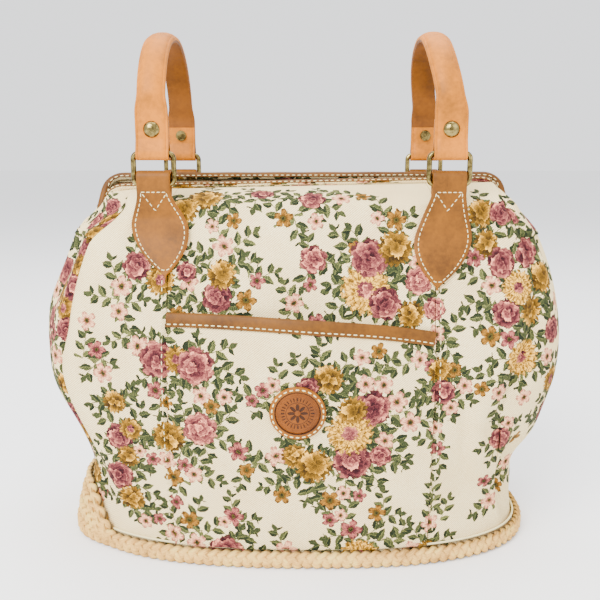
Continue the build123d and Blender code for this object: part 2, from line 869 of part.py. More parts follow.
fold_radii = [6, 6, wrap * 0.92, wrap * 0.92, 6, 6]
half_strap = leather / 2
crown_height = half_strap + grip_crown
for side, word in ((-1, "left"), (1, "right")):
    x = side * ring_x
    start_plane = Plane(origin=(x, -leg_y, arch_height), x_dir=(1, 0, 0), z_dir=(0, 0, 1))
    with BuildPart() as strap:
        with BuildSketch(Plane.YZ.offset(x)):
            for sign in (-1, 1):
                with BuildLine() as fold:
                    FilletPolyline(*strap_fold(sign), radius=fold_radii)
                trace(fold.line, line_width=leather)
        extrude(amount=strap_width / 2, both=True)
        with BuildLine(Plane.YZ.offset(x)) as arch:
            ThreePointArc((-leg_y, arch_height), (0, arch_height + leg_y), (leg_y, arch_height))
        with BuildSketch(start_plane):
            add(grip_outline(grip_width / 2, grip_edge - half_strap, crown_height, half_strap))
            make_face()
            add(grip_outline(grip_width / 2 - grip_wall, 0, crown_height - grip_wall, half_strap))
            make_face(mode=Mode.SUBTRACT)
        sweep(path=arch.line)
        for sign in (-1, 1):
            with BuildSketch(Plane.XZ.offset(-sign * ring_y)):
                with Locations((x, rivet_height)):
                    Circle(rivet_post / 2 + rivet_hole_clearance)
            extrude(amount=4 * leather, both=True, mode=Mode.SUBTRACT)
    strap.part.label = f"{word}_handle_strap"
    save(strap)

    with BuildPart() as core:
        with BuildLine(Plane.YZ.offset(x)) as arch:
            ThreePointArc((-leg_y, arch_height), (0, arch_height + leg_y), (leg_y, arch_height))
        with BuildSketch(start_plane):
            add(
                grip_outline(
                    grip_width / 2 - grip_wall - grip_gap,
                    -grip_gap,
                    crown_height - grip_wall - grip_gap,
                    half_strap,
                )
            )
            make_face()
        sweep(path=arch.line)
    core.part.label = f"{word}_handle_core"
    save(core)

    with BuildPart() as inner_strip:
        with BuildLine(Plane.YZ.offset(x)) as arch:
            ThreePointArc((-leg_y, arch_height), (0, arch_height + leg_y), (leg_y, arch_height))
        with BuildSketch(start_plane):
            with Locations((0, half_strap + grip_gap + grip_lining / 2)):
                Rectangle(grip_lining_width, grip_lining)
        sweep(path=arch.line)
    inner_strip.part.label = f"{word}_handle_lining"
    save(inner_strip)

    face = -ring_y - layer - half_strap
    back = -ring_y + layer + half_strap
    top = face - rivet_dome
    with BuildPart() as rivets:
        with BuildSketch(Plane.YZ.offset(x)):
            with BuildLine():
                Polyline(
                    (top, rivet_height + rivet_flat / 2),
                    (top, rivet_height),
                    (back + rivet_back_thickness, rivet_height),
                    (back + rivet_back_thickness, rivet_height + rivet_back / 2),
                    (back, rivet_height + rivet_back / 2),
                    (back, rivet_height + rivet_post / 2),
                    (face, rivet_height + rivet_post / 2),
                    (face, rivet_height + rivet_cap / 2),
                )
                ThreePointArc(
                    (face, rivet_height + rivet_cap / 2),
                    (face - rivet_dome * 0.72, rivet_height + rivet_cap * 0.31),
                    (top, rivet_height + rivet_flat / 2),
                )
            make_face()
        revolve(axis=Axis((x, 0, rivet_height), (0, 1, 0)))
        mirror(rivets.part, about=Plane.XZ)
    rivets.part.label = f"{word}_handle_rivets"
    save(rivets)
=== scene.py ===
import math
from functools import partialmethod

import bpy
import numpy as np
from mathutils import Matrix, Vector


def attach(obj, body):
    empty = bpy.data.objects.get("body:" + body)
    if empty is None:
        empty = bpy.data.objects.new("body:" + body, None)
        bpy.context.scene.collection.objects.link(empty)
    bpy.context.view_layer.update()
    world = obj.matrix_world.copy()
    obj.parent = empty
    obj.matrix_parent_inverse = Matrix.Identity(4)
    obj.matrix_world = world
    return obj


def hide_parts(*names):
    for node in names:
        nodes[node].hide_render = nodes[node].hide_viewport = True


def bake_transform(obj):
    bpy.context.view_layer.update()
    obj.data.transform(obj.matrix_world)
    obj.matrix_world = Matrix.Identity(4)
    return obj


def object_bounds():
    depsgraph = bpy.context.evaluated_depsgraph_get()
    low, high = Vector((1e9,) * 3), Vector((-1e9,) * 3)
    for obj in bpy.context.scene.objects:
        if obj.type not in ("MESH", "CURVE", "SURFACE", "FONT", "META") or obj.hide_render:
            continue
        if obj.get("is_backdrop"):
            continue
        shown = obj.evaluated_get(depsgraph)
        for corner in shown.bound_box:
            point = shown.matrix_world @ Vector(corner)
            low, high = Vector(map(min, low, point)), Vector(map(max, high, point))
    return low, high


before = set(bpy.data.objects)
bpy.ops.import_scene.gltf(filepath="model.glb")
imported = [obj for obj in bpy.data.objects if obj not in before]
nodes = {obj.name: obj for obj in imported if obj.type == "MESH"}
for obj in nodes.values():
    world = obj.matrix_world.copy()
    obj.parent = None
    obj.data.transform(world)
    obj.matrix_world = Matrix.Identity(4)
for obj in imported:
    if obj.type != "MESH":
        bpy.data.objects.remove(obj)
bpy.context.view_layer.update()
print("frame loaded")

# All shapes below are worked out in millimetres, and each mesh is written in metres.
mm = 0.001

# Outline of the cloth body at its key heights, as in the frame.
body = {
    "footWidth": 181.0, "waistWidth": 174.0, "bellyWidth": 206.0, "shoulderWidth": 171.0,
    "footDepth": 88.0, "bellyDepth": 91.0, "shoulderDepth": 57.0,
    "clothFoot": 5.5, "waist": 50.0, "belly": 155.0, "depthBelly": 120.0,
    "shoulder": 272.0, "gussetTop": 253.0, "footSquare": 2.5, "shoulderSquare": 4.3,
    "seam": 98.0, "fold": 0.9, "foldShift": 0.15, "foldHeight": 130.0, "foldSpread": 55.0,
    "cloth": 1.2, "middle": 150.0,
}


# Smooth step: 3 t squared minus 2 t cubed, held between 0 and 1.
def easeStep(t):
    t = np.clip(t, 0, 1)
    return t * t * (3 - 2 * t)


# Bell curve: e to the minus squared distance over the spread.
def hump(value, middle, spread):
    return np.exp(-((value - middle) / spread) ** 2)


# Half width by height: a parabola above the belly, an eased fall to the waist, an eased flare to the foot.
def halfWidth(z):
    rise = (z - body["belly"]) / (body["shoulder"] - body["belly"])
    upper = body["bellyWidth"] - (body["bellyWidth"] - body["shoulderWidth"]) * rise**2
    drop = np.clip((body["belly"] - z) / (body["belly"] - body["waist"]), 0, 1)
    middle = body["bellyWidth"] - (body["bellyWidth"] - body["waistWidth"]) * easeStep(drop**1.25)
    low = (body["waist"] - z) / (body["waist"] - body["clothFoot"])
    lower = body["waistWidth"] + (body["footWidth"] - body["waistWidth"]) * easeStep(low)
    return np.where(z >= body["belly"], upper, np.where(z >= body["waist"], middle, lower))


# Half depth by height: two parabolas that meet at the depth's belly.
def halfDepth(z):
    rise = (z - body["depthBelly"]) / (body["shoulder"] - body["depthBelly"])
    drop = (body["depthBelly"] - z) / (body["depthBelly"] - body["clothFoot"])
    upper = body["bellyDepth"] - (body["bellyDepth"] - body["shoulderDepth"]) * rise**2
    lower = body["bellyDepth"] - (body["bellyDepth"] - body["footDepth"]) * drop**2
    return np.where(z >= body["depthBelly"], upper, lower)


# Exponent of the rounded outline, from the foot's to the shoulder's.
def squareness(z):
    return body["footSquare"] + (body["shoulderSquare"] - body["footSquare"]) * easeStep(z / body["shoulder"])


# Depth of the front or back cloth: b times the n-th root of 1 minus (x / a) to the n.
def faceDepth(x, z):
    a, b, n = halfWidth(z), halfDepth(z), squareness(z)
    return b * (1 - np.minimum(np.abs(x) / a, 1) ** n) ** (1 / n)


# Share of the half width where the front folds into the end.
# The right fold swings in at its middle, the left one at its top.
def foldShare(side, z):
    right = body["foldShift"] * hump(z, body["foldHeight"], body["foldSpread"])
    left = 0.035 * easeStep((z - 145) / 40) + 0.085 * easeStep((z - 243) / 29)
    return body["fold"] - (right if side > 0 else left)


# Four-cornered faces of a grid of rows by columns.
def gridQuads(rows, cols, offset=0, wrap=False):
    i, j = np.meshgrid(np.arange(rows - 1), np.arange(cols if wrap else cols - 1), indexing="ij")
    k = (j + 1) % cols
    return np.stack([i * cols + j, i * cols + k, (i + 1) * cols + k, (i + 1) * cols + j], -1).reshape(-1, 4) + offset


# Smooth mesh from points in millimetres and a list of faces.
def smoothMesh(name, points, faces):
    mesh = bpy.data.meshes.new(name)
    mesh.from_pydata((points * mm).tolist(), [], faces)
    mesh.polygons.foreach_set("use_smooth", np.ones(len(mesh.polygons), bool))
    return mesh


# Places of the face corners on the cloth, given in millimetres, as the mesh's own map.
def mapCorners(mesh, flat):
    layer = mesh.uv_layers.new(name="Cloth")
    layer.data.foreach_set("uv", (flat * mm).astype(np.float32).ravel())


# Puts a mesh into the scene as an object.
def placeMesh(name, mesh):
    made = bpy.data.objects.new(name, mesh)
    bpy.context.scene.collection.objects.link(made)
    return made


# Length run along a line of points: the summed distances from its first.
def runLength(points):
    return np.concatenate([[0], np.cumsum(np.linalg.norm(np.diff(points, axis=0), axis=1))])


# Points of a line at given lengths along it, straight between its own points.
def pointsAt(at, length, points):
    return np.stack([np.interp(at, length, points[:, k]) for k in range(points.shape[1])], -1)


# Closed sheet between an outer and an inner grid, its rim filled; faces turn outward.
def sheetMesh(name, outer, inner, uv):
    rows, cols = outer.shape[:2]
    count = rows * cols
    points = np.concatenate([outer.reshape(-1, 3), inner.reshape(-1, 3)])
    ids = np.arange(count).reshape(rows, cols)
    ring = np.concatenate([ids[0, :-1], ids[:-1, -1], ids[-1, :0:-1], ids[:0:-1, 0]])
    nxt = np.roll(ring, -1)
    front = gridQuads(rows, cols)
    faces = np.concatenate([
        front, gridQuads(rows, cols, count)[:, ::-1], np.stack([nxt, ring, ring + count, nxt + count], -1),
    ])
    normal = np.cross(points[front[:, 2]] - points[front[:, 0]], points[front[:, 3]] - points[front[:, 1]])
    if np.sum(normal * (points[front[:, 0]] - points[front[:, 0] + count])) < 0:
        faces = faces[:, ::-1]
    flat = np.concatenate([uv.reshape(-1, 2), uv.reshape(-1, 2)])
    mesh = smoothMesh(name, points, faces.tolist())
    mapCorners(mesh, flat[faces.ravel()])
    mesh.set_sharp_from_angle(angle=math.radians(50))
    mesh.update()
    return placeMesh(name, mesh)


# Surface normals of a grid: the cross product of its two directions.
def gridNormals(grid):
    du = np.gradient(grid, axis=1)
    dv = np.gradient(grid, axis=0)
    normal = np.cross(du, dv)
    return normal / np.maximum(np.linalg.norm(normal, axis=-1, keepdims=True), 1e-9)


# Tube or bar: a closed profile carried along a path, with the path's own side and up directions.
def sweepMesh(name, path, sideways, upward, profile, closed=False, angle=50, bend=None, edgeColumns=()):
    rows, cols = len(path), profile.shape[-2]
    shape = np.broadcast_to(profile, (rows, cols, 2))
    points = path[:, None] + shape[..., :1] * sideways[:, None] + shape[..., 1:] * upward[:, None]
    points = points.reshape(-1, 3)
    quads = gridQuads(rows + 1 if closed else rows, cols, 0, True)
    if closed:
        quads %= rows * cols
    faces = quads.tolist()
    if not closed:
        faces.append(list(range(cols))[::-1])
        faces.append(list(range((rows - 1) * cols, rows * cols)))
    a, b, c = points[quads[:, 0]], points[quads[:, 1]], points[quads[:, 2]]
    middle = np.repeat(points.reshape(rows, cols, 3).mean(1), cols, 0)[quads[:, 0]]
    if np.sum(np.cross(b - a, c - b) * (a - middle)) < 0:
        faces = [f[::-1] for f in faces]
    if bend is not None:
        points = bend(points)
    length = runLength(path)
    across = runLength(shape[0])
    u = np.repeat(length, cols)
    v = np.tile(across, rows)
    flat = np.stack([u, v], -1)[np.concatenate([np.asarray(f) for f in faces])]
    mesh = smoothMesh(name, points, faces)
    mapCorners(mesh, flat)
    if len(edgeColumns):
        index = np.zeros(len(faces), np.int32)
        index[:len(quads)] = np.isin(np.arange(len(quads)) % cols, edgeColumns)
        mesh.polygons.foreach_set("material_index", index)
    mesh.set_sharp_from_angle(angle=math.radians(angle))
    mesh.update()
    return placeMesh(name, mesh)


# Polyline with its corners rounded by arcs of the given radii, then evened out to one step.
def roundedPath(points, radii, step):
    points = [np.array(p, float) for p in points]
    found = [points[0]]
    for before, at, after, radius in zip(points, points[1:], points[2:], radii):
        d1, d2 = before - at, after - at
        l1, l2 = np.linalg.norm(d1), np.linalg.norm(d2)
        d1, d2 = d1 / l1, d2 / l2
        half = math.acos(np.clip(np.dot(d1, d2), -1, 1)) / 2
        if half > 1.56:
            found.append(at)
            continue
        reach = min(radius / math.tan(half), 0.49 * l1, 0.49 * l2)
        real = reach * math.tan(half)
        centre = at + (d1 + d2) / np.linalg.norm(d1 + d2) * real / math.sin(half)
        start, end = at + d1 * reach - centre, at + d2 * reach - centre
        sweep = math.pi - 2 * half
        for k in range(9):
            t = k / 8
            found.append(centre + (math.sin((1 - t) * sweep) * start + math.sin(t * sweep) * end) / math.sin(sweep))
    found.append(points[-1])
    found = np.array(found)
    length = runLength(found)
    even = np.linspace(0, length[-1], max(int(length[-1] / step), 2) + 1)
    return pointsAt(even, length, found)


# Tangents of a path, closed or open.
def tangentsOf(path, closed=False):
    along = np.roll(path, -1, 0) - np.roll(path, 1, 0) if closed else np.gradient(path, axis=0)
    return along / np.maximum(np.linalg.norm(along, axis=1, keepdims=True), 1e-9)


# Ring of points of a round or flattened tube: cosine across, sine up.
def roundProfile(across, up, count=10):
    angle = np.arange(count) / count * 2 * np.pi
    return np.stack([across * np.cos(angle), up * np.sin(angle)], -1)


# One stitch: a short thread that dips into the cloth at both ends; rows follow centres, directions and normals.
def stitchRow(name, centres, along, normals, length, radius):
    t = np.linspace(-1, 1, 7)
    ring = np.arange(6) / 6 * 2 * np.pi
    size = np.sqrt(np.clip(1 - 0.9 * t**4, 0.08, 1))
    x = np.repeat(t * length / 2, 6)
    y = (size[:, None] * np.cos(ring)).ravel() * radius
    z = (size[:, None] * np.sin(ring)).ravel() * radius * 0.8 - np.repeat(0.9 * radius * t**4, 6)
    side = np.cross(normals, along)
    points = (
        centres[:, None] + x[:, None] * along[:, None] + y[:, None] * side[:, None] + z[:, None] * normals[:, None]
    ).reshape(-1, 3)
    one = gridQuads(7, 6, 0, True).tolist()
    one.append(list(range(6))[::-1])
    one.append(list(range(36, 42)))
    a, b, c = (points[one[15][k]] for k in range(3))
    flip = np.dot(np.cross(b - a, c - b), a - centres[0]) < 0
    quads = np.array([f[::-1] if flip else f for f in one[:-2]])
    caps = np.array([f[::-1] if flip else f for f in one[-2:]])
    shift = (np.arange(len(centres)) * 42)[:, None, None]
    faces = (quads[None] + shift).reshape(-1, 4).tolist() + (caps[None] + shift).reshape(-1, 6).tolist()
    return placeMesh(name, smoothMesh(name, points, faces))


# Places for stitches along a path: one every pitch, with the path's direction and interpolated normals.
def stitchPlaces(path, normals, pitch):
    length = runLength(path)
    count = max(int(length[-1] / pitch), 1)
    at = (np.arange(count) + 0.5) * length[-1] / count
    centre = pointsAt(at, length, path)
    up = pointsAt(at, length, normals)
    tangent = tangentsOf(path)
    along = pointsAt(at, length, tangent)
    up -= np.sum(up * along, 1, keepdims=True) * along
    return centre, along / np.linalg.norm(along, axis=1, keepdims=True), up / np.linalg.norm(up, axis=1, keepdims=True)


# Row of cream stitches along a path, one every pitch, on the body that carries it.
def sewRow(name, path, normals, pitch, length, radius, bodyName="bag"):
    made = stitchRow(name, *stitchPlaces(path, normals, pitch), length, radius)
    made.data.materials.append(thread)
    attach(made, bodyName)


# Studio light: what a white surface sends back, and the view's tone curve with its channel mixing.
studio = {
    "light": 3.1, "curve": (15.5, -40.14, 31.96, -6.868, 0.4298, 0.1191, -0.00232), "lowStop": -12.47393, "stops": 16.5,
    "mixing": ((0.8425, 0.0784, 0.0792), (0.0423, 0.8785, 0.0792), (0.0424, 0.0784, 0.8791)),
}


# Dye that shows as the given screen colour: the tone curve undone by look-up, then divided by the light.
def dye(red, green, blue):
    stops = np.linspace(-10, 3.5, 500)
    shown = np.polyval(studio["curve"], (stops - studio["lowStop"]) / studio["stops"])
    mixing = np.array(studio["mixing"])
    wanted = mixing @ (np.array([red, green, blue]) / 255)
    bright = np.linalg.solve(mixing, 2 ** np.interp(wanted, shown, stops))
    return tuple(float(v) for v in np.clip(bright / studio["light"], 0.003, 0.88))


# Node helpers: a small layer over the shader editor, so that each material reads as its formula.
class NodeSheet:
    def __init__(self, tree):
        self.tree = tree

    def add(self, kind, **values):
        node = self.tree.nodes.new(kind)
        for key, value in values.items():
            setattr(node, key, value)
        return node

    def link(self, value, socket):
        if isinstance(value, bpy.types.NodeSocket):
            self.tree.links.new(value, socket)
        elif value is not None:
            socket.default_value = value

    def math(self, operation, a, b=None, c=None):
        node = self.add("ShaderNodeMath", operation=operation)
        for value, socket in zip((a, b, c), node.inputs):
            self.link(value, socket)
        return node.outputs[0]

    times = partialmethod(math, "MULTIPLY")
    plus = partialmethod(math, "ADD")
    minus = partialmethod(math, "SUBTRACT")
    over = partialmethod(math, "DIVIDE")
    timesPlus = partialmethod(math, "MULTIPLY_ADD")
    above = partialmethod(math, "GREATER_THAN")
    below = partialmethod(math, "LESS_THAN")
    sine = partialmethod(math, "SINE")
    cosine = partialmethod(math, "COSINE")
    size = partialmethod(math, "ABSOLUTE")
    fract = partialmethod(math, "FRACT")
    floor = partialmethod(math, "FLOOR")
    power = partialmethod(math, "POWER")
    root = partialmethod(math, "SQRT")
    most = partialmethod(math, "MAXIMUM")
    heading = partialmethod(math, "ARCTAN2")

    def mix(self, share, a, b):
        node = self.add("ShaderNodeMix", data_type="RGBA")
        for value, socket in zip((share, a, b), (node.inputs[0], node.inputs[6], node.inputs[7])):
            self.link(value, socket)
        return node.outputs[2]

    def noise(self, vector, scale, detail=2.0, rough=0.5):
        node = self.add("ShaderNodeTexNoise")
        self.link(vector, node.inputs["Vector"])
        for name, value in (("Scale", scale), ("Detail", detail), ("Roughness", rough)):
            self.link(value, node.inputs[name])
        return node.outputs["Fac"]

    def ramp(self, value, stops):
        node = self.add("ShaderNodeValToRGB")
        while len(node.color_ramp.elements) < len(stops):
            node.color_ramp.elements.new(0.5)
        for element, (place, colour) in zip(node.color_ramp.elements, stops):
            element.position = place
            element.color = (*colour, 1)
        self.link(value, node.inputs[0])
        return node.outputs[0]

    def step(self, value, low, high):
        node = self.add("ShaderNodeMapRange", interpolation_type="SMOOTHSTEP")
        for item, socket in zip((value, low, high), node.inputs):
            self.link(item, socket)
        return node.outputs[0]


# New material with its node sheet and its main shader.
def newMaterial(name):
    material = bpy.data.materials.new(name)
    material.use_nodes = True
    sheet = NodeSheet(material.node_tree)
    shader = material.node_tree.nodes["Principled BSDF"]
    shader.inputs["Specular IOR Level"].default_value = 0.12
    return material, sheet, shader


# Leather: tan, mottled at two scales, with a fine grain as bump.
leatherLook = {
    "light": (190, 136, 26), "dark": (154, 102, 10), "mottle": 34.0, "grain": 1500.0,
    "rough": 0.52, "bump": 0.25,
}


def leatherMaterial(name, light=leatherLook["light"], dark=leatherLook["dark"]):
    material, s, shader = newMaterial(name)
    place = s.add("ShaderNodeTexCoord").outputs["Object"]
    mottle = s.noise(place, leatherLook["mottle"], 5.0, 0.6)
    fine = s.noise(place, leatherLook["mottle"] * 9, 3.0, 0.6)
    both = s.plus(s.times(mottle, 0.7), s.times(fine, 0.3))
    s.link(s.ramp(both, [(0.36, dye(*dark)), (0.60, dye(*light))]), shader.inputs["Base Color"])
    cells = s.add("ShaderNodeTexVoronoi", feature="DISTANCE_TO_EDGE")
    s.link(place, cells.inputs["Vector"])
    cells.inputs["Scale"].default_value = leatherLook["grain"]
    bump = s.add("ShaderNodeBump")
    bump.inputs["Strength"].default_value = leatherLook["bump"]
    bump.inputs["Distance"].default_value = 0.0002
    height = s.plus(cells.outputs["Distance"], s.times(fine, 0.8))
    s.link(height, bump.inputs["Height"])
    s.link(bump.outputs[0], shader.inputs["Normal"])
    s.link(s.timesPlus(fine, 0.18, leatherLook["rough"] - 0.09), shader.inputs["Roughness"])
    shader.inputs["Specular IOR Level"].default_value = 0.16
    return material


# Antique brass: warm metal whose colour swings in noise patches from near-black brown to bright brass, partly patina
# and partly painted reflection contrast; its roughness follows the same patches.
brassLook = {"light": (0.34, 0.26, 0.085), "dark": (0.06, 0.04, 0.012), "rough": 0.2}


def brassMaterial():
    material, s, shader = newMaterial("antiqueBrass")
    place = s.add("ShaderNodeTexCoord").outputs["Object"]
    patch = s.noise(place, 210.0, 3.0, 0.7)
    # Painted reflection: the near-black and bright patches stand in part for dark and bright reflections in the metal.
    s.link(s.ramp(patch, [(0.36, brassLook["dark"]), (0.62, brassLook["light"])]), shader.inputs["Base Color"])
    shader.inputs["Metallic"].default_value = 1.0
    s.link(s.timesPlus(patch, 0.22, brassLook["rough"] - 0.1), shader.inputs["Roughness"])
    return material


# Drawn steel wire: grey metal with lengthwise streaks.
def wireMaterial():
    material, s, shader = newMaterial("drawnWire")
    place = s.add("ShaderNodeTexCoord").outputs["Object"]
    streak = s.noise(place, 420.0, 3.0, 0.7)
    s.link(s.ramp(streak, [(0.3, (0.30, 0.30, 0.29)), (0.7, (0.50, 0.49, 0.47))]), shader.inputs["Base Color"])
    shader.inputs["Metallic"].default_value = 1.0
    s.link(s.timesPlus(streak, 0.2, 0.32), shader.inputs["Roughness"])
    return material


# Cream thread: fine uneven fuzz as colour.
def threadMaterial():
    material, s, shader = newMaterial("creamThread")
    place = s.add("ShaderNodeTexCoord").outputs["Object"]
    fuzz = s.noise(place, 2600.0, 2.0, 0.6)
    s.link(s.ramp(fuzz, [(0.3, dye(222, 208, 180)), (0.7, dye(244, 236, 218))]), shader.inputs["Base Color"])
    shader.inputs["Roughness"].default_value = 0.75
    return material


# Straw: pale strands with streaks along their length, each strand a little different; the gap colour is painted shade,
# mixed in where the strands' shade attribute says.
strawLook = {"pale": (228, 208, 162), "dark": (186, 156, 104), "bright": (240, 228, 192), "gap": (112, 84, 46)}


def strawMaterial(name, stretch=(1.0, 14.0)):
    material, s, shader = newMaterial(name)
    uv = s.add("ShaderNodeUVMap", uv_map="Cloth").outputs[0]
    mapping = s.add("ShaderNodeMapping")
    s.link(uv, mapping.inputs["Vector"])
    mapping.inputs["Scale"].default_value = (stretch[0], stretch[1], 1)
    streak = s.noise(mapping.outputs[0], 160.0, 4.0, 0.65)
    place = s.add("ShaderNodeTexCoord").outputs["Object"]
    patch = s.noise(place, 60.0, 3.0, 0.6)
    both = s.plus(s.times(streak, 0.6), s.times(patch, 0.4))
    stops = [(0.32, dye(*strawLook["dark"])), (0.48, dye(*strawLook["pale"])), (0.72, dye(*strawLook["bright"]))]
    # Painted shade: the shade attribute blends the straw towards the dark gap colour where strands pass under and along
    # their edges.
    shade = s.add("ShaderNodeAttribute", attribute_name="shade").outputs["Fac"]
    colour = s.mix(shade, s.ramp(both, stops), (*dye(*strawLook["gap"]), 1))
    s.link(colour, shader.inputs["Base Color"])
    bump = s.add("ShaderNodeBump")
    bump.inputs["Strength"].default_value = 0.6
    bump.inputs["Distance"].default_value = 0.0003
    s.link(streak, bump.inputs["Height"])
    s.link(bump.outputs[0], shader.inputs["Normal"])
    shader.inputs["Roughness"].default_value = 0.62
    return material


# Plain weave for the lining and board cover: two crossed sine waves.
def plainWeaveMaterial(name, colour, pitch=0.9):
    material, s, shader = newMaterial(name)
    place = s.add("ShaderNodeTexCoord").outputs["Object"]
    split = s.add("ShaderNodeSeparateXYZ")
    s.link(place, split.inputs[0])
    turn = 2 * math.pi / (pitch * mm)
    warp = s.sine(s.times(s.plus(split.outputs[0], split.outputs[1]), turn))
    weft = s.sine(s.times(split.outputs[2], turn))
    weave = s.times(warp, weft)
    patch = s.noise(place, 70.0, 3.0, 0.6)
    dark = tuple(0.85 * c for c in colour)
    both = s.plus(s.times(weave, 0.12), patch)
    s.link(s.ramp(both, [(0.25, dye(*dark)), (0.75, dye(*colour))]), shader.inputs["Base Color"])
    bump = s.add("ShaderNodeBump")
    bump.inputs["Strength"].default_value = 0.4
    bump.inputs["Distance"].default_value = 0.0002
    s.link(weave, bump.inputs["Height"])
    s.link(bump.outputs[0], shader.inputs["Normal"])
    shader.inputs["Roughness"].default_value = 0.9
    return material


# Flower print.
# Layers of stamps: each face corner carries its place inside the flower or sprig that covers its face.
printLook = {
    "ground": (239, 226, 206), "groundDark": (220, 205, 181), "groundBright": (248, 239, 224),
    "twillPitch": 1.7, "leafScale": 1.14, "leafLayers": 8, "smallLayers": 3, "bigLayers": 3, "fanSprigs": 3, "seed": 7,
}
leafNames = [f"leaf{k}" for k in range(printLook["leafLayers"])]
smallNames = [f"small{k}" for k in range(printLook["smallLayers"])]
bigNames = [f"big{k}" for k in range(printLook["bigLayers"])]


# Group shell with a vector input and a colour and mask output.
def stampGroup(name):
    tree = bpy.data.node_groups.new(name, "ShaderNodeTree")
    tree.interface.new_socket("Place", in_out="INPUT", socket_type="NodeSocketVector")
    tree.interface.new_socket("Colour", in_out="OUTPUT", socket_type="NodeSocketColor")
    tree.interface.new_socket("Mask", in_out="OUTPUT", socket_type="NodeSocketFloat")
    s = NodeSheet(tree)
    split = s.add("ShaderNodeSeparateXYZ")
    source = s.add("NodeGroupInput")
    tree.links.new(source.outputs[0], split.inputs[0])
    return tree, s, split.outputs[0], split.outputs[1], split.outputs[2]


# Ties a stamp's colour and mask to its outputs.
def closeGroup(tree, s, colour, mask):
    out = s.add("NodeGroupOutput")
    tree.links.new(colour, out.inputs[0])
    tree.links.new(mask, out.inputs[1])
    return tree


# Sprig: a stem along x with leaves set alternately on both sides and one at its tip.
# A leaf is where its across distance is under its width times the sine of its along share.
def sprigGroup():
    tree, s, x, y, code = stampGroup("sprigStamp")
    seed = s.fract(code)
    bend = s.times(s.times(x, x), s.timesPlus(seed, 0.3, -0.15))
    y = s.plus(y, bend)
    side = s.above(y, 0.0)
    cellCount = 1.45
    t = s.plus(s.times(x, cellCount), s.timesPlus(side, 0.45, 5.0))
    t = s.plus(t, seed)
    f = s.over(s.minus(s.fract(t), 0.06), cellCount)
    height = s.minus(s.size(y), 0.015)
    along = s.plus(s.times(f, 0.62), s.times(height, 0.785))
    across = s.minus(s.times(f, 0.785), s.times(height, 0.62))
    leafLength = s.timesPlus(s.fract(s.times(s.floor(t), 0.37)), 0.22, 0.56)
    share = s.over(along, leafLength)
    inside = s.times(s.above(share, 0.0), s.below(share, 1.0))
    width = s.times(s.sine(s.times(s.power(share, 0.8), math.pi)), 0.20)
    leaf = s.times(s.above(width, s.size(across)), inside)
    span = s.times(s.above(x, -0.95), s.below(x, 0.62))
    leaf = s.times(leaf, span)
    tipShare = s.over(s.minus(x, 0.42), 0.55)
    tipIn = s.times(s.above(tipShare, 0.0), s.below(tipShare, 1.0))
    tipWidth = s.times(s.sine(s.times(tipShare, math.pi)), 0.15)
    tip = s.times(s.above(tipWidth, s.size(y)), tipIn)
    stem = s.times(s.below(s.size(y), 0.022), s.times(s.above(x, -1.0), s.below(x, 0.5)))
    mask = s.most(s.most(leaf, tip), stem)
    rib = s.below(s.size(across), 0.016)
    tone = s.plus(s.times(s.above(across, 0.0), 0.30), s.times(s.fract(s.times(s.floor(t), 0.731)), 0.35))
    tone = s.plus(tone, s.times(seed, 0.3))
    vein = s.sine(s.times(s.plus(share, s.size(across)), 44.0))
    tone = s.plus(tone, s.times(vein, 0.15))
    tone = s.plus(tone, s.times(rib, 0.35))
    colour = s.ramp(tone, [
        (0.05, dye(44, 58, 38)), (0.33, dye(74, 88, 54)), (0.62, dye(112, 122, 76)), (0.95, dye(184, 184, 132)),
    ])
    return closeGroup(tree, s, colour, mask)


# Small flower: five petals from the cosine of 2.5 turns, veined and shaded to its eye.
def smallGroup():
    tree, s, x, y, code = stampGroup("smallStamp")
    seed = s.fract(code)
    r = s.root(s.plus(s.times(x, x), s.times(y, y)))
    turn = s.heading(y, x)
    petal = s.size(s.cosine(s.times(turn, 2.5)))
    edge = s.timesPlus(s.power(petal, 0.55), 0.55, 0.36)
    mask = s.below(r, edge)
    share = s.over(r, edge)
    vein = s.sine(s.times(turn, 15.0))
    tone = s.plus(share, s.times(vein, 0.10))
    tone = s.plus(tone, s.times(s.minus(petal, 0.5), 0.18))
    pink = s.ramp(tone, [
        (0.28, dye(156, 92, 82)), (0.42, dye(216, 172, 152)), (0.70, dye(238, 214, 194)), (1.0, dye(210, 164, 146)),
    ])
    berry = s.ramp(tone, [
        (0.28, dye(110, 44, 54)), (0.46, dye(160, 88, 92)), (0.74, dye(214, 160, 150)), (1.0, dye(150, 84, 84)),
    ])
    pink = s.mix(s.below(seed, 0.21), pink, berry)
    gold = s.ramp(tone, [
        (0.28, dye(104, 70, 28)), (0.5, dye(172, 130, 60)), (0.78, dye(206, 168, 94)), (1.0, dye(138, 98, 44)),
    ])
    colour = s.mix(s.above(seed, 0.68), pink, gold)
    eye = s.below(r, s.timesPlus(seed, 0.08, 0.17))
    dark = s.below(r, 0.10)
    colour = s.mix(eye, colour, (*dye(132, 118, 56), 1))
    colour = s.mix(dark, colour, (*dye(66, 64, 34), 1))
    return closeGroup(tree, s, colour, mask)


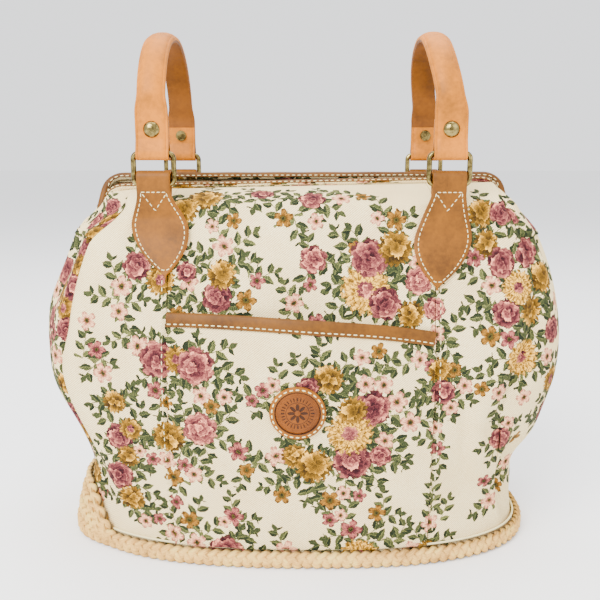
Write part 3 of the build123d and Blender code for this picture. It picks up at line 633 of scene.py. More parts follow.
# Large flower: a rose of cell petals that lighten outward over a spiral, or a gold flower of the same
# ruffled cells or of rings of narrow petals.
# The whole part of the code picks the kind, its fraction the colouring.
def bigGroup():
    tree, s, x, y, code = stampGroup("bigStamp")
    seed = s.fract(code)
    kind = s.above(code, 1.0)
    r = s.root(s.plus(s.times(x, x), s.times(y, y)))
    turn = s.heading(y, x)
    phase = s.times(seed, 6.28)
    lobe = s.size(s.cosine(s.plus(s.times(turn, 3.0), phase)))
    roseEdge = s.timesPlus(s.power(lobe, 0.5), 0.17, 0.78)
    wave = s.sine(s.plus(s.times(turn, 3.0), s.times(r, 5.0)))
    swirl = s.plus(s.times(s.power(r, 0.8), 4.2), s.over(turn, 2 * math.pi))
    swirl = s.plus(swirl, s.times(wave, s.timesPlus(r, 0.42, 0.05)))
    arc = s.fract(s.plus(swirl, seed))
    offset = s.add("ShaderNodeCombineXYZ")
    s.link(s.times(seed, 9.0), offset.inputs[0])
    shifted = s.add("ShaderNodeCombineXYZ")
    s.link(s.plus(x, s.times(seed, 9.0)), shifted.inputs[0])
    s.link(y, shifted.inputs[1])
    petal = s.add("ShaderNodeTexVoronoi", voronoi_dimensions="2D", feature="F1")
    petal.inputs["Scale"].default_value = 2.5
    s.link(shifted.outputs[0], petal.inputs["Vector"])
    away = s.add("ShaderNodeVectorMath", operation="SUBTRACT")
    s.link(shifted.outputs[0], away.inputs[0])
    s.link(petal.outputs["Position"], away.inputs[1])
    outward = s.add("ShaderNodeVectorMath", operation="DOT_PRODUCT")
    middle = s.add("ShaderNodeVectorMath", operation="SUBTRACT")
    s.link(shifted.outputs[0], middle.inputs[0])
    s.link(offset.outputs[0], middle.inputs[1])
    s.link(away.outputs[0], outward.inputs[0])
    s.link(middle.outputs[0], outward.inputs[1])
    reach = s.over(outward.outputs["Value"], s.most(r, 0.12))
    chance = s.add("ShaderNodeSeparateColor")
    s.link(petal.outputs["Color"], chance.inputs[0])
    roseTone = s.timesPlus(reach, 1.15, s.times(chance.outputs[0], 0.26))
    roseTone = s.plus(roseTone, s.timesPlus(arc, 0.26, s.times(seed, 0.26)))
    roseTone = s.plus(roseTone, s.timesPlus(r, 0.10, 0.05))
    rose = s.ramp(roseTone, [
        (0.05, dye(86, 32, 42)), (0.24, dye(132, 62, 70)), (0.44, dye(172, 104, 104)), (0.66, dye(210, 156, 144)),
        (0.88, dye(234, 200, 182)),
    ])
    ragged = s.times(s.sine(s.plus(s.times(turn, 5.0), phase)), 0.28)
    rings = s.plus(s.times(s.power(r, 0.8), 3.7), ragged)
    ringNumber = s.floor(rings)
    ringShare = s.fract(rings)
    slot = s.plus(s.times(turn, s.timesPlus(ringNumber, 2.0, 7.0)), s.times(ringNumber, 2.1))
    blade = s.size(s.sine(slot))
    mumTone = s.plus(s.times(blade, 0.42), s.times(ringShare, 0.34))
    mumTone = s.plus(mumTone, s.timesPlus(seed, 0.12, 0.10))
    ruffled = s.timesPlus(reach, 0.95, s.timesPlus(chance.outputs[1], 0.36, s.times(blade, 0.12)))
    ruffled = s.plus(ruffled, s.timesPlus(r, 0.12, 0.12))
    narrow = s.above(seed, 0.62)
    mumTone = s.plus(s.times(mumTone, narrow), s.times(ruffled, s.minus(1.0, narrow)))
    gold = s.ramp(mumTone, [
        (0.08, dye(98, 68, 24)), (0.30, dye(150, 114, 42)), (0.54, dye(198, 162, 78)), (0.84, dye(238, 216, 156)),
    ])
    heart = s.times(s.below(r, 0.30), s.above(seed, 0.45))
    gold = s.mix(heart, gold, rose)
    mumEdge = s.timesPlus(s.size(s.cosine(s.times(turn, 8.5))), 0.20, 0.74)
    edge = s.plus(s.times(roseEdge, s.minus(1.0, kind)), s.times(mumEdge, kind))
    mask = s.below(r, edge)
    outline = s.step(s.over(r, edge), 0.90, 1.0)
    colour = s.mix(kind, rose, gold)
    colour = s.mix(s.times(outline, 0.6), colour, (*dye(84, 54, 38), 1))
    return closeGroup(tree, s, colour, mask)


sprigTree, smallTree, bigTree = sprigGroup(), smallGroup(), bigGroup()


# Printed twill: ground, then each stamp layer over it, then diagonal twill ribs as shade and bump.
def clothMaterial():
    material, s, shader = newMaterial("printedTwill")
    uv = s.add("ShaderNodeUVMap", uv_map="Cloth").outputs[0]
    split = s.add("ShaderNodeSeparateXYZ")
    s.link(uv, split.inputs[0])
    turn = 2 * math.pi / (printLook["twillPitch"] * mm)
    fine = s.noise(uv, 900.0, 2.0, 0.6)
    diagonal = s.plus(s.times(split.outputs[0], -0.8), s.times(split.outputs[1], 1.0))
    diagonal = s.plus(diagonal, s.times(fine, 0.0006))
    rib = s.sine(s.times(diagonal, turn))
    yarn = s.sine(s.times(split.outputs[0], 2 * math.pi / (0.8 * mm)))
    broad = s.noise(uv, 26.0, 3.0, 0.6)
    weave = s.plus(s.times(rib, 0.22), s.times(fine, 0.5))
    tone = s.plus(weave, s.times(broad, 0.35))
    colour = s.ramp(tone, [
        (0.10, dye(*printLook["groundDark"])), (0.55, dye(*printLook["ground"])),
        (0.9, dye(*printLook["groundBright"])),
    ])
    wobble = s.add("ShaderNodeTexNoise")
    s.link(uv, wobble.inputs["Vector"])
    wobble.inputs["Scale"].default_value = 420.0
    wobble.inputs["Detail"].default_value = 1.0
    shift = s.add("ShaderNodeVectorMath", operation="SUBTRACT")
    s.link(wobble.outputs["Color"], shift.inputs[0])
    shift.inputs[1].default_value = (0.5, 0.5, 0.5)
    mottle = s.noise(uv, 620.0, 3.0, 0.75)
    blot = s.timesPlus(mottle, 1.5, 0.25)
    for names, tree, amount in ((leafNames, sprigTree, 0.16), (smallNames, smallTree, 0.34), (bigNames, bigTree, 0.36)):
        for name in names:
            place = s.add("ShaderNodeAttribute", attribute_name=name)
            moved = s.add("ShaderNodeVectorMath", operation="ADD")
            s.link(place.outputs["Vector"], moved.inputs[0])
            scale = s.add("ShaderNodeVectorMath", operation="MULTIPLY")
            s.link(shift.outputs[0], scale.inputs[0])
            scale.inputs[1].default_value = (amount, amount, 0)
            s.link(scale.outputs[0], moved.inputs[1])
            stamp = s.add("ShaderNodeGroup", node_tree=tree)
            s.link(moved.outputs[0], stamp.inputs[0])
            dyed = s.add("ShaderNodeVectorMath", operation="SCALE")
            s.link(stamp.outputs["Colour"], dyed.inputs[0])
            s.link(blot, dyed.inputs["Scale"])
            colour = s.mix(stamp.outputs["Mask"], colour, dyed.outputs[0])
    threads = s.timesPlus(s.plus(rib, s.times(fine, 2.0)), 0.055, 0.93)
    shade = s.add("ShaderNodeVectorMath", operation="SCALE")
    s.link(colour, shade.inputs[0])
    s.link(threads, shade.inputs["Scale"])
    s.link(shade.outputs[0], shader.inputs["Base Color"])
    bump = s.add("ShaderNodeBump")
    bump.inputs["Strength"].default_value = 0.5
    bump.inputs["Distance"].default_value = 0.0003
    height = s.plus(s.times(rib, 0.6), s.plus(s.times(yarn, 0.3), fine))
    s.link(height, bump.inputs["Height"])
    s.link(bump.outputs[0], shader.inputs["Normal"])
    shader.inputs["Roughness"].default_value = 0.88
    return material


leather = leatherMaterial("tanLeather")
handleLeather = leatherMaterial("handleLeather", (226, 176, 92), (202, 148, 58))
trimLeather = leatherMaterial("trimLeather", (176, 124, 22), (140, 90, 8))
stampedLeather = leatherMaterial("stampedLeather", (186, 122, 50), (158, 94, 28))
patchRim = leatherMaterial("patchRim", (200, 146, 60), (172, 114, 32))
# Inner leather for the handles' inner side: darker partly as its own leather and partly as painted shade.
innerLeatherAndShade = leatherMaterial("innerLeatherAndShade", (188, 130, 40), (156, 100, 18))
darkLeather = leatherMaterial("pressedLeather", (118, 66, 22), (90, 46, 12))
rawLeather = leatherMaterial("rawLeather", (226, 180, 104), (206, 154, 74))
brass = brassMaterial()
wire = wireMaterial()
thread = threadMaterial()
straw = strawMaterial("plaitStraw")
clothPrint = clothMaterial()
liningWeave = plainWeaveMaterial("liningCotton", (214, 200, 172))
boardWeave = plainWeaveMaterial("boardCover", (190, 172, 140))
print("materials made")

# Print in cloth millimetres: across from the middle, up from the floor.
# Large flowers are (across, up, radius, kind, shade) with kind 0 a rose and 1 a chrysanthemum.
largeFlowers = [
    (47, 214, 20, 1, 0.85), (50, 236, 15, 0, 0.30), (69, 243, 14, 1, 0.20), (61, 204, 13, 0, 0.10),
    (86, 220, 11, 0, 0.62), (80, 196, 11, 1, 0.10), (9, 235, 11, 0, 0.55), (8, 281, 11, 0, 0.35),
    (-61, 208, 12, 0, 0.05), (-58, 224, 12, 1, 0.30), (-105, 163, 15, 0, 0.28), (-90, 164, 11, 1, 0.55),
    (-76, 160, 15, 0, 0.48), (-74, 112, 14, 0, 0.62), (-98, 104, 14, 1, 0.25), (20, 152, 12, 1, 0.15),
    (52, 129, 15, 0, 0.12), (36, 110, 19, 1, 0.75), (38, 88, 16, 0, 0.22), (10, 84, 15, 1, 0.30),
    (21, 72, 13, 1, 0.12), (-4, 92, 11, 1, 0.05), (59, 92, 9, 0, 0.45), (38, 128, 12, 1, 0.35),
    (5, 146, 9, 0, 0.10), (-57, 9, 16, 0, 0.30), (45, 8, 17, 1, 0.65), (-121, 230, 11, 0, 0.25),
    (-103, 220, 12, 1, 0.60), (-138, 100, 12, 0, 0.35), (-132, 84, 10, 1, 0.2), (-141, 66, 13, 0, 0.15),
    (-132, 47, 12, 1, 0.45), (-128, 108, 10, 1, 0.5), (-72, 284, 15, 1, 0.1), (-87, 271, 12, 1, 0.3),
    (-92, 246, 9, 0, 0.2), (-84, 226, 8, 0, 0.2), (101, 156, 10, 1, 0.3), (104, 140, 10, 0, 0.2),
    (97, 200, 9, 0, 0.6), (97, 8, 11, 1, 0.2), (-30, 292, 10, 0, 0.2), (-140, 128, 10, 1, 0.15),
]
# Small flowers are (across, up, radius, shade): under 0.68 pink, above it ochre.
smallFlowers = [
    (-57, 244, 9, 0.3), (-82, 219, 8, 0.4), (-32, 220, 7, 0.2), (-40, 206, 9, 0.8), (-13, 264, 8, 0.75),
    (11, 262, 7, 0.3), (70, 263, 9, 0.8), (56, 264, 6, 0.4), (39, 243, 6, 0.8), (-5, 204, 8, 0.4), (7, 217, 6, 0.1),
    (85, 232, 7, 0.5), (-132, 215, 9, 0.35), (-134, 197, 8, 0.6), (-120, 172, 9, 0.5), (-107, 140, 8, 0.2),
    (-72, 138, 8, 0.4), (-65, 130, 7, 0.75), (-99, 131, 6, 0.8), (-27, 144, 7, 0.15), (-20, 148, 7, 0.3),
    (-35, 136, 6, 0.2), (-55, 138, 7, 0.3), (-101, 84, 9, 0.45), (-87, 82, 7, 0.2), (-80, 75, 8, 0.3),
    (-96, 71, 9, 0.85), (-46, 95, 9, 0.15), (-40, 80, 7, 0.8), (-18, 92, 9, 0.3), (-112, 84, 7, 0.2),
    (-122, 90, 6, 0.4), (-104, 66, 6, 0.1), (-85, 36, 9, 0.85), (-51, 41, 9, 0.2), (-58, 36, 6, 0.4),
    (-98, 22, 9, 0.45), (-80, 17, 9, 0.3), (-11, 13, 10, 0.4), (22, 40, 7, 0.2), (57, 45, 8, 0.8),
    (38, 32, 10, 0.2), (30, 44, 6, 0.4), (60, 147, 8, 0.35), (47, 148, 8, 0.3), (70, 134, 9, 0.4),
    (80, 118, 9, 0.35), (62, 104, 8, 0.3), (32, 62, 7, 0.3), (22, 56, 9, 0.85), (44, 60, 6, 0.2),
    (-14, 60, 8, 0.75), (56, 172, 7, 0.8), (44, 168, 7, 0.3), (98, 182, 8, 0.3), (86, 165, 7, 0.3),
    (94, 160, 6, 0.2), (110, 128, 7, 0.5), (100, 112, 6, 0.3), (102, 95, 7, 0.2), (-148, 150, 9, 0.3),
    (-152, 168, 8, 0.2), (-158, 190, 8, 0.3), (99, 32, 8, 0.3), (85, 12, 8, 0.3), (-122, 28, 7, 0.3),
    (-110, 32, 6, 0.2), (30, 281, 8, 0.3), (46, 285, 7, 0.8), (-50, 262, 7, 0.8), (-66, 258, 6, 0.3),
    (12, 190, 8, 0.2), (-95, 50, 7, 0.2), (-90, 196, 7, 0.8), (112, 156, 7, 0.7), (120, 144, 7, 0.3),
]
# Sprigs are (across, up, half length, heading in degrees, shade).
sprigs = [
    (-62, 262, 13, 100, 0.3), (-40, 250, 12, 40, 0.5), (-76, 240, 11, 160, 0.4), (-40, 232, 12, 10, 0.2),
    (-88, 208, 10, 190, 0.6), (-25, 224, 12, 20, 0.4), (-46, 196, 13, -40, 0.3), (-70, 196, 12, 200, 0.3),
    (-20, 272, 12, 120, 0.4), (-2, 254, 12, -70, 0.3), (2, 276, 12, 150, 0.2), (22, 272, 12, -30, 0.5),
    (58, 276, 13, 110, 0.2), (78, 262, 12, 60, 0.5), (30, 250, 13, 130, 0.3), (22, 232, 14, 185, 0.3),
    (28, 216, 14, 200, 0.5), (74, 222, 12, 20, 0.2), (92, 232, 11, 60, 0.4), (90, 208, 12, -30, 0.5),
    (26, 200, 12, 215, 0.2), (-10, 212, 12, 120, 0.5), (-8, 196, 12, 230, 0.3), (4, 190, 11, 20, 0.3),
    (64, 190, 12, -40, 0.4), (-138, 228, 12, 110, 0.4), (-148, 208, 12, 170, 0.5), (-122, 204, 12, 10, 0.3),
    (-128, 188, 12, -60, 0.2), (-112, 240, 11, 70, 0.5), (-136, 176, 11, 200, 0.5), (-110, 178, 12, 150, 0.3),
    (-92, 186, 12, 50, 0.2), (-58, 172, 13, 20, 0.4), (-50, 156, 13, -20, 0.3), (-60, 144, 13, -40, 0.2),
    (-88, 144, 12, 230, 0.5), (-112, 150, 12, 210, 0.3), (-104, 128, 12, 260, 0.2), (-60, 128, 11, 60, 0.5),
    (-54, 122, 13, 50, 0.2), (-86, 124, 12, 100, 0.3), (-56, 104, 12, -10, 0.4), (-90, 90, 12, 260, 0.2),
    (-76, 88, 13, -50, 0.4), (-110, 100, 11, 170, 0.6), (-66, 72, 12, -20, 0.3), (-94, 58, 12, 250, 0.3),
    (-38, 140, 13, 170, 0.3), (-16, 156, 12, 100, 0.4), (-28, 132, 12, 230, 0.2), (-40, 96, 13, 140, 0.3),
    (-28, 86, 13, 10, 0.4), (-44, 72, 11, 250, 0.2), (0, 162, 12, 120, 0.3), (14, 170, 13, 95, 0.4),
    (32, 164, 12, 60, 0.5), (52, 160, 12, 80, 0.3), (62, 162, 12, 50, 0.5), (30, 148, 13, 40, 0.2),
    (60, 118, 15, -10, 0.1), (66, 106, 14, -30, 0.2), (78, 128, 12, 20, 0.4), (90, 120, 12, 10, 0.3),
    (74, 92, 12, -40, 0.3), (54, 76, 14, -60, 0.15), (34, 66, 12, -80, 0.3), (-8, 72, 14, 220, 0.2),
    (-22, 68, 12, 200, 0.4), (6, 62, 12, 250, 0.3), (-6, 104, 13, 170, 0.3), (46, 104, 14, 10, 0.1),
    (62, 86, 11, 0, 0.5), (-100, 40, 12, 120, 0.2), (-88, 24, 12, 200, 0.3), (-78, 46, 12, 70, 0.2),
    (-66, 30, 12, 40, 0.3), (-42, 24, 13, 30, 0.2), (-34, 10, 13, 10, 0.3), (-76, 6, 12, 170, 0.4),
    (-52, 52, 11, 100, 0.4), (-40, 38, 11, 10, 0.2), (-16, 24, 12, 110, 0.3), (2, 8, 12, 10, 0.4),
    (20, 16, 14, 150, 0.1), (22, 50, 12, 120, 0.3), (36, 52, 12, 80, 0.2), (52, 28, 14, 30, 0.1),
    (66, 22, 14, 10, 0.3), (62, 56, 11, 95, 0.4), (68, 42, 12, 0, 0.2), (78, 30, 12, 60, 0.4),
    (26, 26, 12, 190, 0.2), (84, 172, 12, 160, 0.3), (70, 160, 12, 200, 0.4), (108, 170, 13, -60, 0.2),
    (112, 188, 12, 60, 0.4), (100, 126, 13, -100, 0.2), (118, 134, 12, -10, 0.3), (92, 140, 12, 200, 0.5),
    (94, 104, 12, 170, 0.4), (104, 84, 12, -90, 0.3), (100, 62, 12, 95, 0.5), (100, 44, 12, 80, 0.3),
    (110, 16, 12, 20, 0.3), (88, 26, 11, 120, 0.2), (-146, 112, 13, 160, 0.4), (-120, 98, 12, 20, 0.3),
    (-124, 72, 13, 0, 0.2), (-118, 54, 12, -30, 0.2), (-146, 84, 12, 190, 0.2), (-120, 38, 12, 10, 0.3),
    (-146, 132, 12, 70, 0.5), (-128, 136, 11, 60, 0.3), (-160, 174, 12, 80, 0.3), (-146, 160, 12, -30, 0.2),
    (-158, 152, 12, 230, 0.3), (-104, 18, 12, 230, 0.4), (-132, 34, 11, -60, 0.3), (-98, 200, 12, 150, 0.3),
    (-70, 270, 12, -60, 0.4), (-54, 272, 12, -80, 0.5), (-100, 258, 12, 200, 0.3), (34, 290, 12, 160, 0.3),
    (16, 292, 12, 180, 0.5), (-14, 288, 12, 170, 0.4), (-92, 284, 12, 170, 0.3), (-46, 288, 12, 0, 0.3),
    (112, 44, 11, 70, 0.5), (20, 186, 11, -10, 0.3),
]
# Right end and its front fold: its own small list, measured from the middle of the bag across the front fold.
rightFlowers = [
    (137, 246, 11, 1, 0.2), (148, 232, 12, 0, 0.35), (160, 214, 14, 1, 0.8), (150, 196, 11, 0, 0.2),
    (172, 196, 12, 1, 0.4), (170, 238, 12, 0, 0.15), (165, 162, 16, 1, 0.9), (185, 220, 13, 1, 0.3),
    (196, 180, 11, 0, 0.3), (152, 98, 10, 0, 0.4), (200, 140, 12, 1, 0.5), (210, 110, 14, 0, 0.3),
    (186, 262, 10, 0, 0.4), (134, 268, 12, 1, 0.3), (150, 268, 10, 0, 0.3),
]
rightSmall = [
    (140, 216, 8, 0.3), (128, 236, 8, 0.2), (138, 180, 9, 0.8), (152, 178, 8, 0.2), (146, 138, 8, 0.4),
    (132, 142, 7, 0.8), (170, 130, 8, 0.3), (158, 110, 7, 0.3), (178, 90, 8, 0.8), (190, 160, 8, 0.3),
    (206, 200, 9, 0.3), (215, 160, 8, 0.8), (143, 60, 7, 0.2), (150, 40, 8, 0.3), (196, 60, 9, 0.3),
    (182, 40, 8, 0.8),
]
leftBand = [
    (-150, 262, 10, 0, 0.3), (-160, 252, 10, 1, 0.2), (-166, 240, 11, 0, 0.5), (-170, 226, 11, 1, 0.4),
    (-176, 212, 11, 0, 0.2), (-158, 268, 10, 1, 0.2), (-166, 281, 9, 0, 0.3), (-176, 264, 10, 0, 0.4),
    (-151, 285, 9, 1, 0.3), (-182, 246, 11, 1, 0.3), (-170, 200, 9, 1, 0.1), (-184, 196, 11, 1, 0.6),
    (-188, 224, 10, 0, 0.6), (-182, 180, 10, 0, 0.3), (-196, 208, 10, 1, 0.3),
]
rightSprigs = [
    (124, 224, 12, 160, 0.3), (126, 204, 12, 200, 0.2), (132, 192, 13, 240, 0.3), (130, 256, 12, 110, 0.4),
    (146, 254, 12, 40, 0.3), (160, 184, 13, -60, 0.2), (176, 180, 13, -40, 0.3), (148, 164, 13, 180, 0.2),
    (136, 152, 12, 150, 0.4), (154, 146, 12, 200, 0.3), (146, 122, 12, 260, 0.2), (164, 146, 12, -80, 0.3),
    (178, 150, 12, -20, 0.2), (182, 206, 12, 10, 0.4), (176, 220, 12, 40, 0.2), (156, 92, 12, 120, 0.3),
    (148, 84, 12, 250, 0.4), (166, 104, 12, 60, 0.3), (190, 110, 13, 170, 0.3), (200, 96, 13, -60, 0.2),
    (206, 152, 13, 70, 0.3), (196, 128, 12, 200, 0.4), (150, 52, 12, 80, 0.3), (142, 34, 12, 200, 0.3),
    (186, 56, 13, 150, 0.2), (200, 44, 12, -20, 0.3), (166, 248, 12, 100, 0.3), (190, 240, 12, 20, 0.4),
    (210, 220, 12, 10, 0.3), (220, 180, 12, -30, 0.2),
]


# Lists for the other panels: the same flowers moved and mirrored about a place across, as the repeat comes round.
def movedPrint(flowers, smalls, stems, across, up, mirrored):
    sign = -1 if mirrored else 1
    big = [(sign * a + across, b + up, r, k, c) for a, b, r, k, c in flowers]
    small = [(sign * a + across, b + up, r, c) for a, b, r, c in smalls]
    leaf = [(sign * a + across, b + up, r, 180 - h if mirrored else h, c) for a, b, r, h, c in stems]
    return big, small, leaf


# The print come round again: of the second copy, only what lies beyond the first one's edge is kept.
def printRound(lists, again, side, edge):
    return tuple(own + [item for item in more if side * item[0] > edge] for own, more in zip(lists, again))


# Short dark sprigs that fan out from under every large flower, at seeded headings.
def fannedSprigs(flowers):
    chance = np.random.RandomState(printLook["seed"])
    found = []
    for across, up, radius, kind, shade in flowers:
        first = chance.uniform(0, 360)
        for k in range(printLook["fanSprigs"]):
            heading = first + 360 * k / printLook["fanSprigs"] + chance.uniform(-25, 25)
            reach = radius * 0.75 + 6
            c, s = math.cos(math.radians(heading)), math.sin(math.radians(heading))
            found.append((across + reach * c, up + reach * s, chance.uniform(9, 13), heading, chance.uniform(0, 0.25)))
    return found


allLarge = largeFlowers + rightFlowers
frontPrint = (allLarge, smallFlowers + rightSmall, sprigs + rightSprigs + fannedSprigs(allLarge))
backPrint = movedPrint(*frontPrint, 14, -6, True)


# Writes one stamp list into its layers: a stamp takes the first layer where none of its faces is taken.
def stampLayers(made, names, stamps, halfHeight):
    mesh = made.data
    corner = np.zeros(len(mesh.loops) * 2, np.float32)
    mesh.uv_layers["Cloth"].data.foreach_get("uv", corner)
    corner = corner.reshape(-1, 2) / mm
    start = np.zeros(len(mesh.polygons), np.int32)
    total = np.zeros(len(mesh.polygons), np.int32)
    mesh.polygons.foreach_get("loop_start", start)
    mesh.polygons.foreach_get("loop_total", total)
    centre = np.add.reduceat(corner, start, axis=0) / total[:, None]
    faceOf = np.repeat(np.arange(len(total)), total)
    spread = np.zeros(len(total))
    np.maximum.at(spread, faceOf, np.linalg.norm(corner - centre[faceOf], axis=1))
    values = np.full((len(names), len(corner), 3), 9.0, np.float32)
    taken = np.zeros((len(names), len(total)), bool)
    left = 0
    for across, up, radius, heading, code in stamps:
        c, s = math.cos(math.radians(heading)), math.sin(math.radians(heading))
        dx, dy = centre[:, 0] - across, centre[:, 1] - up
        x, y = dx * c + dy * s, -dx * s + dy * c
        inside = (np.abs(x) < radius + spread) & (np.abs(y) < radius * halfHeight + spread)
        if not inside.any():
            continue
        free = [k for k in range(len(names)) if not taken[k][inside].any()]
        if not free:
            left += 1
            continue
        k = free[0]
        taken[k] |= inside
        at = inside[faceOf]
        px, py = corner[at, 0] - across, corner[at, 1] - up
        values[k][at] = np.stack([(px * c + py * s) / radius, (-px * s + py * c) / radius, np.full(at.sum(), code)], -1)
    for name, value in zip(names, values):
        layer = mesh.attributes.new(name, "FLOAT_VECTOR", "CORNER")
        layer.data.foreach_set("vector", value.ravel())
    return left


# Prints one cloth piece with the three kinds of stamps.
def printCloth(made, lists):
    big, small, leaf = lists
    left = [
        stampLayers(made, leafNames, [(a, b, r * printLook["leafScale"], h, c) for a, b, r, h, c in leaf], 0.66),
        stampLayers(made, smallNames, [(a, b, r, 360 * c * 7 % 360, c) for a, b, r, c in small], 1.0),
        stampLayers(made, bigNames, [(a, b, r, 360 * c * 5 % 360, k + c * 0.98 + 0.005) for a, b, r, k, c in big], 1.0),
    ]
    made.data.materials.append(clothPrint)
    print(made.name, "printed, stamps left out:", left)


# Cloth of the front and back.
bows = {
    "front": {"armX": 163.0, "left": (-151.0, -16.0, 285.0), "right": (152.0, -9.0, 291.0)},
    "rear": {"armX": 168.0, "left": (-162.0, 15.0, 293.0), "right": (161.0, 11.0, 294.0)},
    "hinge": 260.0, "corner": 14.0,
}


# Depth and height of a bow at x across: straight between its corners, and straight down each arm.
def bowAt(x, bow):
    left, right, arm = bow["left"], bow["right"], bow["armX"]
    share = np.clip((x - left[0]) / (right[0] - left[0]), 0, 1)
    y = left[1] + (right[1] - left[1]) * share
    z = left[2] + (right[2] - left[2]) * share
    for corner, foot in ((left, -arm), (right, arm)):
        beyond = np.abs(x) > abs(corner[0])
        beyond &= np.sign(x) == np.sign(foot)
        part = np.clip((x - corner[0]) / (foot - corner[0]), 0, 1)
        y = np.where(beyond, corner[1] * (1 - part), y)
        z = np.where(beyond, corner[2] + (bows["hinge"] - corner[2]) * part, z)
    return y, z


# Soft unevenness of stuffed cloth: a few slow waves, none near the rim, the tabs or the pocket's ends.
unevenness = {"slow": 2.4, "pleat": 4.2, "pucker": 0.6, "drag": 2.6, "roll": 4.0, "valley": 6.0}


def clothWaves(x, z, seed):
    slow = np.sin(x / 31 + seed) * np.sin(z / 37 + 1.7 * seed) + 0.6 * np.sin(x / 17 - z / 23 + seed)
    return unevenness["slow"] * slow * easeStep((z - 12) / 40) * easeStep((300 - z) / 60)


# Pleats fanning down from the shoulder's corners, and drag lines running down to the foot.
def frontFolds(x, z):
    side = np.sign(x)
    across = np.abs(x)
    fan = np.sin((across - 112) / 5.2 - (272 - z) / 11)
    pleats = unevenness["pleat"] * fan * easeStep((across - 116) / 16) * hump(z, 256, 40)
    drag = unevenness["drag"] * np.sin((across + 0.55 * z) / 9) * easeStep((across - 100) / 30) * hump(z, 70, 55)
    low = 0.8 * np.sin(x / 9.5 + 2 * np.sin(x / 40)) * hump(z, 8, 16)
    toFold = np.where(side > 0, foldShare(1, z), foldShare(-1, z)) * halfWidth(z) - across
    crisp = np.where(side > 0, easeStep((z - 95) / 50), 1.0) * easeStep((z - 20) / 40)
    valley = unevenness["valley"] * np.exp(-np.maximum(toFold, 0) / 3.5)
    roll = (unevenness["roll"] * hump(toFold, 13, 9) - valley) * crisp
    slant = across - (118 + 0.10 * (150 - z))
    long = -2.6 * hump(slant, 0, 4.5) * hump(z, 118, 38) + 2.4 * hump(slant, 11, 8) * hump(z, 112, 46)
    return pleats * (1.1 + 0.3 * side) + (drag + long) * (side > 0) + low + roll


# Depth of the cloth with its unevenness, which dies out at the foot, the tabs, the seams and behind the pocket.
def clothDepth(x, z, sign, seed):
    wave = clothWaves(x, z, seed) * 0.7 + (frontFolds(x, z) if sign < 0 else 0.35 * frontFolds(-x, z))
    foot = easeStep((z - 14) / 16)
    tab = 1 - hump(np.abs(x), 104, 26) * easeStep((z - 205) / 18)
    edge = 1 - hump(np.abs(x), body["seam"], 4) * 0.7
    pocket = easeStep((body["seam"] - np.abs(x)) / 5) * easeStep((200 - z) / 8) if sign < 0 else 0
    seams = -1.1 * hump(np.abs(x), body["seam"], 1.5) if sign < 0 else 0
    pucker = unevenness["pucker"] * np.sin(z / 2.1) * hump(np.abs(x), body["seam"], 7) if sign < 0 else 0
    return faceDepth(x, z) + wave * foot * tab * edge * (1 - pocket) + (seams + pucker) * easeStep((262 - z) / 20)


# Front or back grid between two columns of x, from the foot to the shoulder and over to the bow.
def faceGrid(xFrom, xTo, columns, sign, bow, seed):
    rows = 92
    topRows = 18
    z = np.linspace(body["clothFoot"], body["shoulder"], rows)[:, None]
    s = np.linspace(0, 1, columns)[None, :]
    x = xFrom(z) + (xTo(z) - xFrom(z)) * s
    depth = clothDepth(x, z, sign, seed)
    low = np.stack([x, sign * depth, np.broadcast_to(z, x.shape)], -1)
    topX = x[-1]
    bowY, bowZ = bowAt(topX, bow)
    near = np.abs(bowY) + 2.6
    rise = bowZ - 1.6 - body["shoulder"]
    span = depth[-1] - near
    t = np.linspace(0, 1, topRows + 1)[1:, None]
    a, b, c, d = (1 - t) ** 3, 3 * t * (1 - t) ** 2, 3 * t**2 * (1 - t), t**3
    sag = 1.2 * np.sin(topX / 13 + seed) * np.sin(np.pi * t)
    y = a * depth[-1] + b * (depth[-1] - 0.03 * span) + c * (depth[-1] - 0.55 * span) + d * near
    h = body["shoulder"] + rise * (b * 0.45 + c * 0.86 + d) + sag * 0.6
    top = np.stack([np.broadcast_to(topX, y.shape), sign * y, h], -1)
    grid = np.concatenate([low, top])
    length = np.linalg.norm(np.diff(top, axis=0, prepend=low[-1:]), axis=-1)
    v = np.concatenate([np.broadcast_to(z, x.shape), body["shoulder"] + np.cumsum(length, 0)])
    u = np.concatenate([x, np.broadcast_to(topX, y.shape)])
    return grid, np.stack([u if sign < 0 else -u, v], -1)


# Normals of a cloth grid, turned as a whole away from the middle of the bag.
def outwardNormals(grid):
    normals = gridNormals(grid)
    return -normals if np.sum(normals * (grid - np.array([0, 0, body["middle"]]))) < 0 else normals


# Turns a grid into a closed sheet: the inner side lies one thickness further in, towards the bag's middle.
def clothSheet(name, grid, uv, thick=body["cloth"]):
    return sheetMesh(name, grid, grid - outwardNormals(grid) * thick, uv)


# Cloth beside the bow: its transform is baked into its mesh; the bow's depth at the middle is read but not used.
def blendToBow(made, bow):
    bowY = bowAt(np.array([0.0]), bow)[0]
    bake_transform(made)


front = bows["front"]
rear = bows["rear"]
seamGap = 0.25
# Each cloth's left and right edge by height, its columns, its side, its bow and its seed.
faces = {
    "frontCentreCloth": (
        lambda z: -body["seam"] + seamGap + 0 * z, lambda z: body["seam"] - seamGap + 0 * z, 70, -1, front, 0.4,
    ),
    "frontLeftCloth": (
        lambda z: -foldShare(-1, z) * halfWidth(z), lambda z: -body["seam"] - seamGap + 0 * z, 34, -1, front, 0.4,
    ),
    "frontRightCloth": (
        lambda z: body["seam"] + seamGap + 0 * z, lambda z: foldShare(1, z) * halfWidth(z), 34, -1, front, 0.4,
    ),
    "backCloth": (
        lambda z: -body["fold"] * halfWidth(z), lambda z: body["fold"] * halfWidth(z), 120, 1, rear, 2.1,
    ),
}
stands = {
    "frontCentreCloth": ("front_centre_panel", "front_top_cloth"), "frontLeftCloth": ("front_left_panel",),
    "frontRightCloth": ("front_right_panel",), "backCloth": ("back_panel", "rear_top_cloth"),
}
grids = {}
